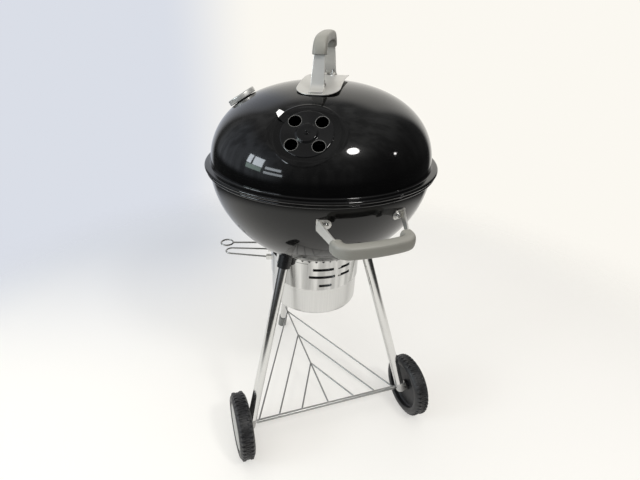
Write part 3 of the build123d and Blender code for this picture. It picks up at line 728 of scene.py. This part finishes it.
class KETTLE_OT_lid(GrillOperator, Operator):
    """Lid shell: dome, flattened damper seat with its air holes, flange and rolled edge"""

    bl_idname = "kettle.lid"
    bl_label = "Lid shell"

    fine_rings = 64
    wide_rings = 64
    spokes = 192

    def execute(self, context):
        size = self.kettle
        self.radius = size.rim_radius - size.lid_inset
        self.base = size.rim_height + size.edge
        self.seat = vent_place()
        self.reach = size.seat_reach
        bead = size.lid_bead
        bead_z = size.rim_height + RIM_GAP / 2 + bead
        flange = bead_z + bead
        fillet = 0.003
        self.wall_low = flange + fillet - self.base
        bm = bmesh.new()
        rings = self.fine_rings + self.wide_rings
        verts, edges = chain(bm, [(ring / rings, 0.0, 0.0) for ring in range(rings + 1)])
        turn_round(bm, verts, edges, self.spokes)
        self.edge_cache = {}
        for vert in bm.verts:
            vert.co = self.spot(math.hypot(vert.co.x, vert.co.y), math.atan2(vert.co.y, vert.co.x))
        rim_r = self.dome_radius(self.wall_low)
        outline = [(rim_r, flange + fillet)]
        outline += arc(self.radius + fillet, flange + fillet, fillet, 180, 270, 5)[1:]
        outline += arc(size.rim_radius - bead, bead_z, bead, 90, -200, 18)
        rim = lathe(outline, self.spokes)
        rim.transform(Matrix.Rotation(self.start_turn(), 4, "Z"))
        join(bm, rim)
        bmesh.ops.remove_doubles(bm, verts=bm.verts, dist=2e-5)
        face_out(bm)
        bm = thicken(bm, size.sheet)
        for x, y in hole_spots(size):
            bm = carve(bm, hole_cutter(size.hole_radius, self.seat @ Matrix.Translation((x, y, 0.0))))
        place_piece(bm, "lid_enamel", "lid", "enamel_black", ["lid_shell"])
        return {"FINISHED"}

    def start_turn(self):
        """Heading of the spoke at no turn, as an angle about z."""
        return math.atan2(self.seat.col[0].y, self.seat.col[0].x)

    def dome_radius(self, height):
        size = self.kettle
        return self.radius * (1 - (height / size.lid_height) ** size.lid_power) ** (1 / size.lid_power)

    def level(self, point):
        """Below 0 inside the dome, above 0 outside."""
        size = self.kettle
        out = math.hypot(point.x, point.y) / self.radius
        tall = max(point.z - self.base, 0.0) / size.lid_height
        return out ** size.lid_power + tall ** size.lid_power - 1.0

    def near_seat(self, reach, turn):
        """A place on a circle about the damper's axis, on the dome or on the flat seat."""
        across = Vector((reach * math.cos(turn), reach * math.sin(turn), 0.0))
        high, low = 0.03, -0.12
        for _ in range(40):
            middle = (high + low) / 2
            if self.level(self.seat @ (across + UP * middle)) > 0:
                high = middle
            else:
                low = middle
        blend = self.kettle.seat_blend
        share = min(1.0, max(0.0, 0.5 - 0.5 * high / blend))
        ridge_at, ridge_wide = 0.0605, 0.0017
        ridge = self.kettle.seat_ridge * math.exp(-((reach - ridge_at) / ridge_wide) ** 2)
        return self.seat @ (across + UP * (high * share - blend * share * (1 - share) + ridge))

    def ring_reach(self, way):
        """Reach of a ring around the damper: most rings lie where the seat meets the dome."""
        few, wide = 0.25, 0.68
        if way < few:
            return self.reach * (way / few * wide)
        return self.reach * (wide + (way - few) / (1 - few) * (1 - wide))

    def flat(self, point):
        """A dome point on the flat map whose distance from the middle is the slope angle."""
        size = self.kettle
        out = math.hypot(point.x, point.y)
        slope = math.asin(min(1.0, (out / self.radius) ** (size.lid_power / 2)))
        return Vector((point.x, point.y)) * (slope / max(out, 1e-9))

    def raise_up(self, spot):
        """The dome point of a place on the flat map."""
        size = self.kettle
        slope = spot.length
        out = self.radius * math.sin(slope) ** (2 / size.lid_power)
        tall = size.lid_height * math.cos(slope) ** (2 / size.lid_power)
        way = spot / max(slope, 1e-9)
        return Vector((way.x * out, way.y * out, self.base + tall))

    def spot(self, share, turn):
        """The lid point of a place on a plain disc: damper circles first, the rim circle last."""
        inner = self.fine_rings / (self.fine_rings + self.wide_rings)
        if share <= inner + 1e-6:
            return self.near_seat(self.ring_reach(share / inner), turn)
        key = round(turn, 5)
        if key not in self.edge_cache:
            size = self.kettle
            last = math.acos((self.wall_low / size.lid_height) ** (size.lid_power / 2))
            about = turn + self.start_turn()
            rim = Vector((math.cos(about), math.sin(about))) * last
            self.edge_cache[key] = (self.flat(self.near_seat(self.reach, turn)), rim)
        first, rim = self.edge_cache[key]
        way = (share - inner) / (1 - inner)
        return self.raise_up(first.lerp(rim, way))


def hole_spots(size):
    """Places of the air holes on the damper seat."""
    return [(size.hole_pitch * math.cos(turn), size.hole_pitch * math.sin(turn))
            for turn in (math.radians(degrees) for degrees in (45, 135, 225, 315))]


def hole_cutter(radius, place):
    """A round tool, long enough for sheet work."""
    bm = bmesh.new()
    bmesh.ops.create_cone(bm, cap_ends=True, segments=48, radius1=radius, radius2=radius, depth=0.03)
    bm.transform(place)
    return bm


class KETTLE_OT_bowl(GrillOperator, Operator):
    """Bowl shell with its rolled edge and ash slots"""

    bl_idname = "kettle.bowl"
    bl_label = "Bowl shell"

    def execute(self, context):
        size = self.kettle
        radius = size.rim_radius - size.bowl_inset
        top = size.rim_height - size.edge
        bead = size.bowl_bead
        bead_r = size.rim_radius - 0.0026 - bead
        bead_z = size.rim_height - RIM_GAP / 2 - bead
        fillet = 0.003
        outline = []
        for step in range(65):
            slope = math.pi / 2 * step / 64
            outline.append((radius * math.sin(slope) ** (2 / size.bowl_power),
                            top - size.bowl_height * math.cos(slope) ** (2 / size.bowl_power)))
        outline += arc(radius + fillet, bead_z + bead - fillet, fillet, 180, 90, 5)
        outline += arc(bead_r, bead_z, bead, 90, -200, 18)
        bm = lathe(outline, 192)
        face_out(bm)
        bm = thicken(bm, size.sheet)
        for turn in (30, 150, 270):
            near, far, half = 0.035, 0.065, 0.012
            rounded = arc(far, 0.0, half, -90, 90, 12) + arc(near, 0.0, half, 90, 270, 12)
            tool = plate_of(rounded, 0.06)
            lift = Matrix.Translation((0, 0, top - size.bowl_height - 0.02))
            tool.transform(lift @ Matrix.Rotation(math.radians(turn), 4, "Z"))
            bm = carve(bm, tool)
        place_piece(bm, "bowl_enamel", "base", "enamel_black", ["bowl_shell"])
        return {"FINISHED"}


class KETTLE_OT_damper(GrillOperator, Operator):
    """Damper disc with a raised middle, air holes and a finger tab"""

    bl_idname = "kettle.damper"
    bl_label = "Damper"

    def execute(self, context):
        size = self.kettle
        low = 0.0003
        top = low + 0.0015
        boss = top + 0.0032
        edge = size.damper_radius
        edge_round, boss_round = 0.004, 0.003
        outline = [(0.0, low), (edge - 0.0003, low)]
        outline += arc(edge - 0.00306, top - edge_round, edge_round, 40, 90, 10)
        outline += arc(0.0215, top + boss_round, boss_round, 270, 215, 5)
        outline += arc(0.0155, boss - boss_round, boss_round, 35, 90, 6)
        outline += [(0.006, boss), (0.0, boss)]
        bm = lathe(outline, 96)
        for x, y in hole_spots(size):
            bm = carve(bm, hole_cutter(size.hole_radius, Matrix.Translation((x, y, 0.0))))
        soften(bm, 0.0007, 3, 60)
        join(bm, self.tab(edge, low), Matrix.Rotation(math.radians(146), 4, "Z"))
        place = vent_place()
        place_piece(bm, "damper_disc", "damper", "damper_black", ["lid_damper"], place, CRISP)
        place_piece(self.eyelet(boss), "damper_eyelet", "lid", "damper_black", ["lid_damper_rivet"], place)
        return {"FINISHED"}

    @staticmethod
    def tab(edge, low):
        """Finger tab, bent up in two steps, narrower at its end and a little twisted."""
        twist = 0.061
        path = [(edge - 0.0015, low), (edge + 0.0035, low), (edge + 0.0058, low + 0.0006)]
        path += [(edge + 0.0125, low + 0.0033), (edge + 0.0206, low + 0.0078)]
        bm = strip_of(path, 0.016)
        tip = [vert for vert in bm.verts if vert.co.x > edge + 0.02]
        bmesh.ops.scale(bm, vec=(1, 0.56, 1), verts=tip)
        for vert in bm.verts:
            if vert.co.x > edge + 0.005:
                vert.co.z += vert.co.y * twist
        face_out(bm)
        bmesh.ops.solidify(bm, geom=bm.faces, thickness=0.0015)
        face_out(bm)
        soften(bm, 0.0005, 2, 50)
        broad = [face for face in bm.faces if face.calc_area() > 0.00005]
        bmesh.ops.inset_individual(bm, faces=broad, thickness=0.0006)
        return bm

    @staticmethod
    def eyelet(boss):
        """Hollow rivet that the damper turns on."""
        low = -0.0045
        head = low + 0.0028
        outline = [(0.0015, low), (0.005, low), (0.005, head), (0.0026, head), (0.0026, boss + 0.0003)]
        outline += arc(0.0033, boss + 0.0011, 0.0008, -90, 90, 6)
        outline += arc(0.0022, boss + 0.0012, 0.0007, 90, 180, 4)
        return lathe(outline, 48, closed=True)


class KETTLE_OT_lid_handle(GrillOperator, Operator):
    """Heat plate, bent strap and arched grip on the lid"""

    bl_idname = "kettle.lid_handle"
    bl_label = "Lid handle"

    def execute(self, context):
        place = lid_handle_place(self.handles, self.kettle)
        place_piece(self.plate(), "heat_plate", "lid", "plate_steel", ["lid_heat_plate"], place, CRISP)
        place_piece(self.strap(), "handle_strap", "lid", "plate_steel", ["lid_strap"], place, CRISP)
        place_piece(self.grip(), "lid_grip_moulding", "lid", "grip_grey", ["lid_grip"], place)
        return {"FINISHED"}

    def plate_top(self, x):
        size = self.handles
        return size.plate_sheet / 2 - x * x / (2 * size.plate_bend)

    def plate(self):
        size = self.handles
        bm = bmesh.new()
        bmesh.ops.create_grid(bm, x_segments=1, y_segments=1, size=0.5)
        bmesh.ops.scale(bm, vec=(size.plate_length, size.plate_width, 1.0), verts=bm.verts)
        bevel(bm, bm.verts[:], size.plate_corner, 14, affect="VERTICES")
        for step in range(1, 30):
            at = size.plate_length * (step / 30 - 0.5)
            bmesh.ops.bisect_plane(bm, geom=bm.verts[:] + bm.edges[:] + bm.faces[:], plane_co=(at, 0, 0),
                                   plane_no=(1, 0, 0))
        for vert in bm.verts:
            vert.co.z = self.plate_top(vert.co.x)
        face_out(bm)
        bm = thicken(bm, size.plate_sheet)
        soften(bm, 0.0005, 2, 60)
        return bm

    def strap(self):
        size = self.handles
        foot = size.strap_half + size.strap_foot
        rise = size.strap_sheet + 0.0001
        path = [(x, self.plate_top(x) + rise) for x in (foot, size.strap_half)]
        path.append((size.strap_half - size.strap_splay, size.strap_height))
        path = path + [(-x, z) for x, z in reversed(path)]
        bm = strip_of(path, size.strap_width)
        folds = [edge for edge in bm.edges if len(edge.link_faces) == 2]
        bevel(bm, folds, 0.008, 10)
        low = self.plate_top(foot) + rise
        for vert in bm.verts:
            climb = max(0.0, (vert.co.z - low) / (size.strap_height - low))
            vert.co.y *= 1 - climb * (1 - size.strap_top / size.strap_width)
        face_out(bm)
        top = max(bm.faces, key=lambda face: face.calc_center_median().z)
        if top.normal.z < 0:
            bmesh.ops.reverse_faces(bm, faces=bm.faces)
        bm = thicken(bm, size.strap_sheet)
        soften(bm, 0.0006, 2, 60)
        return bm

    def grip(self):
        size = self.handles
        low = size.grip_low
        half = size.strap_half - size.strap_splay * low / size.strap_height
        top = size.grip_top
        wide = size.grip_width / 2
        stations = [
            (half - 0.0035, low, 99, 0.0100, wide),
            (half - 0.0041, low + 0.003, 99, 0.0103, wide + 0.0004),
            (half - 0.0068, low + 0.012, 106, 0.0106, wide),
            (half - 0.0135, top - 0.0145, 136, 0.0112, wide),
            (half - 0.0290, top - 0.0100, 165, 0.0100, wide - 0.0004),
            (0.0, top - 0.0093, 180, 0.0093, wide - 0.001),
        ]
        mirrored = [(-x, z, 360 - turn, thick, across) for x, z, turn, thick, across in stations[-2::-1]]
        rings = []
        for x, z, turn, thick, across in stations + mirrored:
            way = math.radians(turn)
            out = Vector((math.sin(way), 0.0, -math.cos(way))) * thick
            rings.append([Vector((x, side * across, z)) + out * depth for side, depth in ROUND_BOX])
        bm = loft(rings)
        crease_ends(bm, 0.7)
        return smooth_out(bm)


class KETTLE_OT_thermometer(GrillOperator, Operator):
    """Bright bezel of the lid's thermometer"""

    bl_idname = "kettle.thermometer"
    bl_label = "Thermometer"

    def execute(self, context):
        low, high = -0.0012, 0.0098
        outer, well, bore = 0.030, 0.0275, 0.0036
        foot, lip, floor = 0.0015, 0.0022, low + 0.0025
        outline = [(bore, low), (outer - 0.002, low)]
        outline += arc(outer - foot, low + foot, foot, -90, 0, 4)
        outline += arc(outer - lip, high - lip, lip, 0, 110, 9)
        outline += [(well, high - 0.0009), (well, floor), (bore, floor)]
        bm = lathe(outline, 96, closed=True)
        place_piece(bm, "dial_bezel", "lid", "dial_case", ["thermo_case"], dial_place())
        return {"FINISHED"}


class KETTLE_OT_bowl_grips(GrillOperator, Operator):
    """Curved bar grips at the front and the back of the bowl"""

    bl_idname = "kettle.bowl_grips"
    bl_label = "Bowl grips"

    def execute(self, context):
        for name, turn in (("front", 0.0), ("rear", math.pi)):
            place = Matrix.Rotation(turn, 4, "Z") @ Matrix.Translation((0, 0, self.handles.bar_height))
            place_piece(self.bar(), "bar_grip_" + name, "base", "grip_grey", ["bowl_grip_" + name], place)
        return {"FINISHED"}

    def line(self):
        """Middle line of one half, from its end to the middle: place and way, in x and y."""
        size = self.handles
        flare = math.radians(5.5)
        bow = math.radians(8.0)
        corner = size.bar_corner
        corner_x = corner * (math.cos(flare) - math.sin(bow))
        corner_y = corner * (math.cos(bow) + math.sin(flare))
        ratio = math.tan(bow / 2)
        end = (size.bar_out - size.bar_end - corner_y - ratio * (size.bar_half - corner_x)) / (
            math.cos(flare) + ratio * math.sin(flare))
        front = (size.bar_half + end * math.sin(flare) - corner_x) / math.sin(bow)
        start = Vector((-size.bar_half, -size.bar_end))
        way = Vector((-math.sin(flare), -math.cos(flare)))
        line = [(start + way * (end * share), way) for share in (0.0, 0.12, 0.5, 1.0)]
        side = Vector((-way.y, way.x))
        middle = start + way * end + side * corner
        first = math.atan2(-side.y, -side.x)
        turn = math.pi / 2 + flare - bow
        for share in (0.25, 0.5, 0.75, 1.0):
            angle = first + turn * share
            line.append((middle + Vector((math.cos(angle), math.sin(angle))) * corner,
                         Vector((-math.sin(angle), math.cos(angle)))))
        centre = Vector((0.0, -size.bar_out + front))
        for share in (0.35, 0.7, 1.0):
            angle = -math.pi / 2 - bow * (1 - share)
            line.append((centre + Vector((math.cos(angle), math.sin(angle))) * front,
                         Vector((-math.sin(angle), math.cos(angle)))))
        return line

    def bar(self):
        size = self.handles
        half = self.line()
        whole = half + [(Vector((-at.x, at.y)), Vector((way.x, -way.y))) for at, way in reversed(half[:-1])]
        swell = 1.04
        thick = size.bar_thick / 2 * swell
        high = size.bar_tall / 2 * swell
        rings = []
        for at, way in whole:
            out = Vector((way.y, -way.x))
            ring = []
            for depth, tall in ROUND_BOX:
                spot = at + out * (depth * thick)
                ring.append(Vector((spot.x, spot.y, tall * high)))
            rings.append(ring)
        bm = loft(rings)
        return smooth_out(bm)


class KETTLE_OT_wheels(GrillOperator, Operator):
    """Black wheels with blocks on both shoulders and fine ribs between"""

    bl_idname = "kettle.wheels"
    bl_label = "Wheels"

    def execute(self, context):
        size = self.wheels
        lay = Matrix(((0, 0, 1, 0), (1, 0, 0, 0), (0, 1, 0, 0), (0, 0, 0, 1)))
        for name, sign in (("left", -1.0), ("right", 1.0)):
            bm = self.wheel()
            bm.transform(Matrix.Translation((size.inner_x, size.axle_y, size.radius)) @ lay)
            if sign < 0:
                bmesh.ops.scale(bm, vec=(-1, 1, 1), verts=bm.verts)
                bmesh.ops.reverse_faces(bm, faces=bm.faces)
            place_piece(bm, "tyre_" + name, name + "_wheel", "wheel_black", ["wheel_" + name])
        return {"FINISHED"}

    def wheel(self):
        """One wheel: z along the axle from the inner face."""
        size = self.wheels
        wide = size.width
        ground = size.radius - 0.0028
        hub = size.hub
        bore, boss, shoulder = 0.0039, 0.013, 0.010
        outline = [(bore, 0.0109), (boss, 0.0109), (boss, 0.015), (hub - 0.004, 0.015), (hub, 0.011)]
        outline += [(hub, 0.0022), (hub + 0.0022, 0.0003)]
        outline += arc(ground - shoulder, shoulder, shoulder, -88, 0, 9)
        outline += arc(ground - shoulder, wide - shoulder, shoulder, 0, 88, 9)
        outline += [(hub + 0.0022, wide - 0.0003), (hub, wide - 0.0022), (hub, 0.020), (boss, 0.020)]
        outline += [(boss, 0.029), (bore, 0.029)]
        bm = lathe(outline, 96, closed=True)
        step = math.tau / size.lugs
        for index in range(size.lugs):
            join(bm, self.lug(), Matrix.Rotation(index * step, 4, "Z"))
            far = Matrix.Translation((0, 0, wide)) @ Matrix.Diagonal((1, 1, -1, 1))
            other = self.lug()
            other.transform(Matrix.Rotation((index + 0.5) * step, 4, "Z") @ far)
            bmesh.ops.reverse_faces(other, faces=other.faces)
            join(bm, other)
        for index in range(2 * size.lugs):
            join(bm, self.rib(), Matrix.Rotation((index + 0.25) * step / 2, 4, "Z"))
        return bm

    def lug(self):
        """A block over the inner shoulder, at the turn of x."""
        size = self.wheels
        bm = bmesh.new()
        bmesh.ops.create_cube(bm, size=1.0)
        for vert in bm.verts:
            high = vert.co.x > 0
            far = vert.co.z > 0
            radius = size.radius if high else size.radius - 0.010
            inner = 0.0062 if high else 0.0008
            half = 0.0032 if high else 0.0037
            vert.co = Vector((radius, math.copysign(half, vert.co.y), 0.0125 if far else inner))
        soften(bm, 0.0008, 2, 30)
        return bm

    def rib(self):
        """A fine rib across the middle of the tread, at the turn of x."""
        size = self.wheels
        bm = bmesh.new()
        bmesh.ops.create_cube(bm, size=1.0)
        for vert in bm.verts:
            radius = size.radius - (0.0016 if vert.co.x > 0 else 0.006)
            half = 0.0012 if vert.co.x > 0 else 0.0019
            vert.co = Vector((radius, math.copysign(half, vert.co.y), size.width / 2 + vert.co.z * 0.0125))
        return bm


# Stage


class KETTLE_OT_stage(GrillOperator, Operator):
    """Pale floor, soft light and the camera"""

    bl_idname = "kettle.stage"
    bl_label = "Stage"

    def execute(self, context):
        self.floor()
        self.world()
        self.lamps()
        self.camera()
        return {"FINISHED"}

    def floor(self):
        bm = bmesh.new()
        bmesh.ops.create_circle(bm, cap_ends=True, segments=96, radius=1.7)
        mesh = bpy.data.meshes.new("floor")
        bm.to_mesh(mesh)
        bm.free()
        material = bpy.data.materials.new("floor")
        material.use_nodes = True
        f = Finish(material.node_tree)
        colour = tuple(self.stage.floor) + (1.0,)
        x, y, z = f.split(f.point())
        to_left = x * -SCREEN_RIGHT.x + y * -SCREEN_RIGHT.y
        away = x * -SCREEN_RIGHT.y + y * SCREEN_RIGHT.x
        # Painted cool shade: the floor colour turns bluish towards the back left.
        painted_cool_shade = f.step(to_left, -0.05, 0.55) * f.step(away, -0.1, 0.9)
        tone = f.mix(painted_cool_shade, colour, (0.72, 0.745, 0.80, 1.0))
        fade = 1.0 - f.step((x * x + y * y) ** 0.5, 1.0, 1.6)
        pale = f.seen() * 0.45
        black = (0.0, 0.0, 0.0, 1.0)
        f.surface({"Base Color": f.mix(pale, tone, black), "Emission Color": f.mix(pale, black, tone),
                   "Emission Strength": 1.0, "Roughness": 0.9, "Specular IOR Level": 0.1, "Alpha": fade})
        mesh.materials.append(material)
        floor = bpy.data.objects.new("floor", mesh)
        link(floor)

    def world(self):
        """A dim room, pale behind and with daylight at the left; pale paper for the camera, with a painted cool
        shade at its left.
        """
        world = bpy.data.worlds.new("studio")
        world.use_nodes = True
        bpy.context.scene.world = world
        f = Finish(world.node_tree)
        x, y, z = f.split(f.node("TexCoord", out="Generated"))
        level = (x * x + y * y) ** 0.5 + 0.0001
        levels = ((0.0, 0.04), (0.45, 0.04), (0.54, 0.17), (0.63, 0.22))
        levels += ((0.71, 0.32), (0.85, 0.42), (0.91, 0.48), (1.0, 0.46))
        stops = [(at, (grey, grey, grey * 0.98, 1.0)) for at, grey in levels]
        room = f.node("ValToRGB", {"stops": stops}, {0: z * 0.5 + 0.5})
        behind = f.step((x * 0.342 + y * 0.94) / level, 0.72, 0.88) * (1.0 - f.step(z, 0.6, 0.78))
        right = f.step((x * 0.966 + y * -0.259) / level, 0.45, 0.9) * (1.0 - f.step(z, 0.4, 0.8))
        room = f.mix(right * 0.75, room, (0.03, 0.03, 0.03, 1.0))
        left = f.step((x * -0.966 + y * 0.259) / level, 0.62, 0.92) * f.step(z, -0.15, 0.0)
        left = left * (1.0 - f.step(z, 0.55, 0.75))
        room = f.mix(left, room, (0.58, 0.62, 0.68, 1.0))
        clutter = f.noise(f.gather(x * 7.0, y * 7.0, z * 1.2), 1.0, 4.0)
        room = f.mix(f.step(clutter, 0.35, 0.65) * 0.5, room, (0.02, 0.02, 0.02, 1.0))
        camera = f.node("LightPath", out="Is Camera Ray")
        seen = camera + behind * (f.seen() - camera)
        # Painted cool shade: the paper turns bluish towards the left of the view.
        cream = f.step(x * SCREEN_RIGHT.x + y * SCREEN_RIGHT.y, -0.24, -0.03)
        paper = f.mix(cream, (0.70, 0.73, 0.80, 1.0), (0.965, 0.94, 0.88, 1.0))
        colour = f.mix(f.node("Clamp", None, {0: seen}), f.mix(behind, room, (0.7, 0.69, 0.67, 1.0)), paper)
        back = f.node("Background", None, {"Color": colour, "Strength": 1.0})
        f.node("OutputWorld", None, {"Surface": back})

    def lamps(self):
        """Soft light from above, window panes at the left and two small lamps at the front."""
        aim = Vector((0.0, 0.0, 0.65))
        warm = (1.0, 0.98, 0.95)
        self.lamp("overhead", Vector((-0.4, -0.3, 2.6)), aim, (2.6, 2.6), self.stage.overhead, warm, False)
        dome = Vector((-0.165, -0.145, 0.722))
        day = (0.86, 0.93, 1.0)
        garden = (0.72, 0.95, 0.85)
        panes = (("wide", -85, 17.8, 0.50, 0.52, 0.45, day), ("slim", -96.3, 17.8, 0.23, 0.50, 0.20, day),
                 ("low", -89, 7.8, 0.80, 0.27, 0.11, garden), ("upper", -66, 13, 0.75, 0.17, 0.13, day),
                 ("under", -65.5, 5.8, 0.88, 0.15, 0.11, day))
        for name, turn, rise, wide, tall, share, colour in panes:
            place = self.far(dome, turn, rise, 2.4)
            self.lamp("pane_" + name, place, dome, (wide, tall), self.stage.window * share, colour)
        front = Vector((-0.02, -0.2, 0.75))
        place = self.far(front, 23, 47, 2.2)
        self.lamp("front_lamp", place, front, (0.44, 0.38), self.stage.key, warm, True, "ELLIPSE")
        place = self.far(front, 65.9, 22, 2.2)
        self.lamp("side_lamp", place, front, (0.1, 0.1), 0.8, warm, True, "ELLIPSE")

    @staticmethod
    def far(start, degrees, rise, reach):
        """A place seen from start at a heading and a rise in degrees."""
        tilt = math.radians(rise)
        return start + (heading(degrees) * math.cos(tilt) + UP * math.sin(tilt)) * reach

    @staticmethod
    def lamp(name, place, aim, size, power, colour, in_gloss=True, shape="RECTANGLE"):
        data = bpy.data.lights.new(name, "AREA")
        data.shape = shape
        data.size, data.size_y = size
        data.energy = power
        data.color = colour
        lamp = bpy.data.objects.new(name, data)
        lamp.location = place
        lamp.rotation_euler = (place - aim).to_track_quat("Z", "Y").to_euler()
        lamp.visible_camera = False
        lamp.visible_glossy = in_gloss
        link(lamp)

    def camera(self):
        setting = self.stage
        data = bpy.data.cameras.new("photo")
        data.sensor_width = 36.0
        data.sensor_fit = "HORIZONTAL"
        data.lens = setting.lens
        data.shift_x, data.shift_y = setting.shift
        data.clip_start = 0.01
        camera = bpy.data.objects.new("photo", data)
        back = Vector(setting.camera_back).normalized()
        upright = stand(Vector(setting.camera_at), back, UP.cross(back))
        camera.matrix_world = upright @ Matrix.Rotation(setting.roll, 4, "Z")
        link(camera)
        bpy.context.scene.camera = camera
        bpy.context.scene.view_settings.view_transform = "Standard"


class KETTLE_PT_looks(Panel):
    """Lists the pieces"""

    bl_idname = "KETTLE_PT_looks"
    bl_label = "Kettle Grill"
    bl_space_type = "VIEW_3D"
    bl_region_type = "UI"
    bl_category = "Kettle Grill"

    def draw(self, context):
        for operator in OPERATORS:
            self.layout.operator(operator.bl_idname)


SETTINGS = {
    "kettle_sizes": KettleSizes,
    "kettle_handles": HandleSizes,
    "kettle_wheels": WheelSizes,
    "kettle_stage": StageSettings,
}
OPERATORS = (
    KETTLE_OT_finishes,
    KETTLE_OT_lid,
    KETTLE_OT_bowl,
    KETTLE_OT_damper,
    KETTLE_OT_lid_handle,
    KETTLE_OT_thermometer,
    KETTLE_OT_bowl_grips,
    KETTLE_OT_wheels,
    KETTLE_OT_stage,
)


def register():
    for name, group in SETTINGS.items():
        bpy.utils.register_class(group)
        setattr(bpy.types.Scene, name, PointerProperty(type=group))
    for operator in OPERATORS:
        bpy.utils.register_class(operator)
    bpy.utils.register_class(KETTLE_PT_looks)


def unregister():
    bpy.utils.unregister_class(KETTLE_PT_looks)
    for operator in reversed(OPERATORS):
        bpy.utils.unregister_class(operator)
    for name, group in reversed(SETTINGS.items()):
        delattr(bpy.types.Scene, name)
        bpy.utils.unregister_class(group)


def main():
    register()
    for operator in OPERATORS:
        group, name = operator.bl_idname.split(".")
        getattr(getattr(bpy.ops, group), name)()


if __name__ == "__main__":
    main()
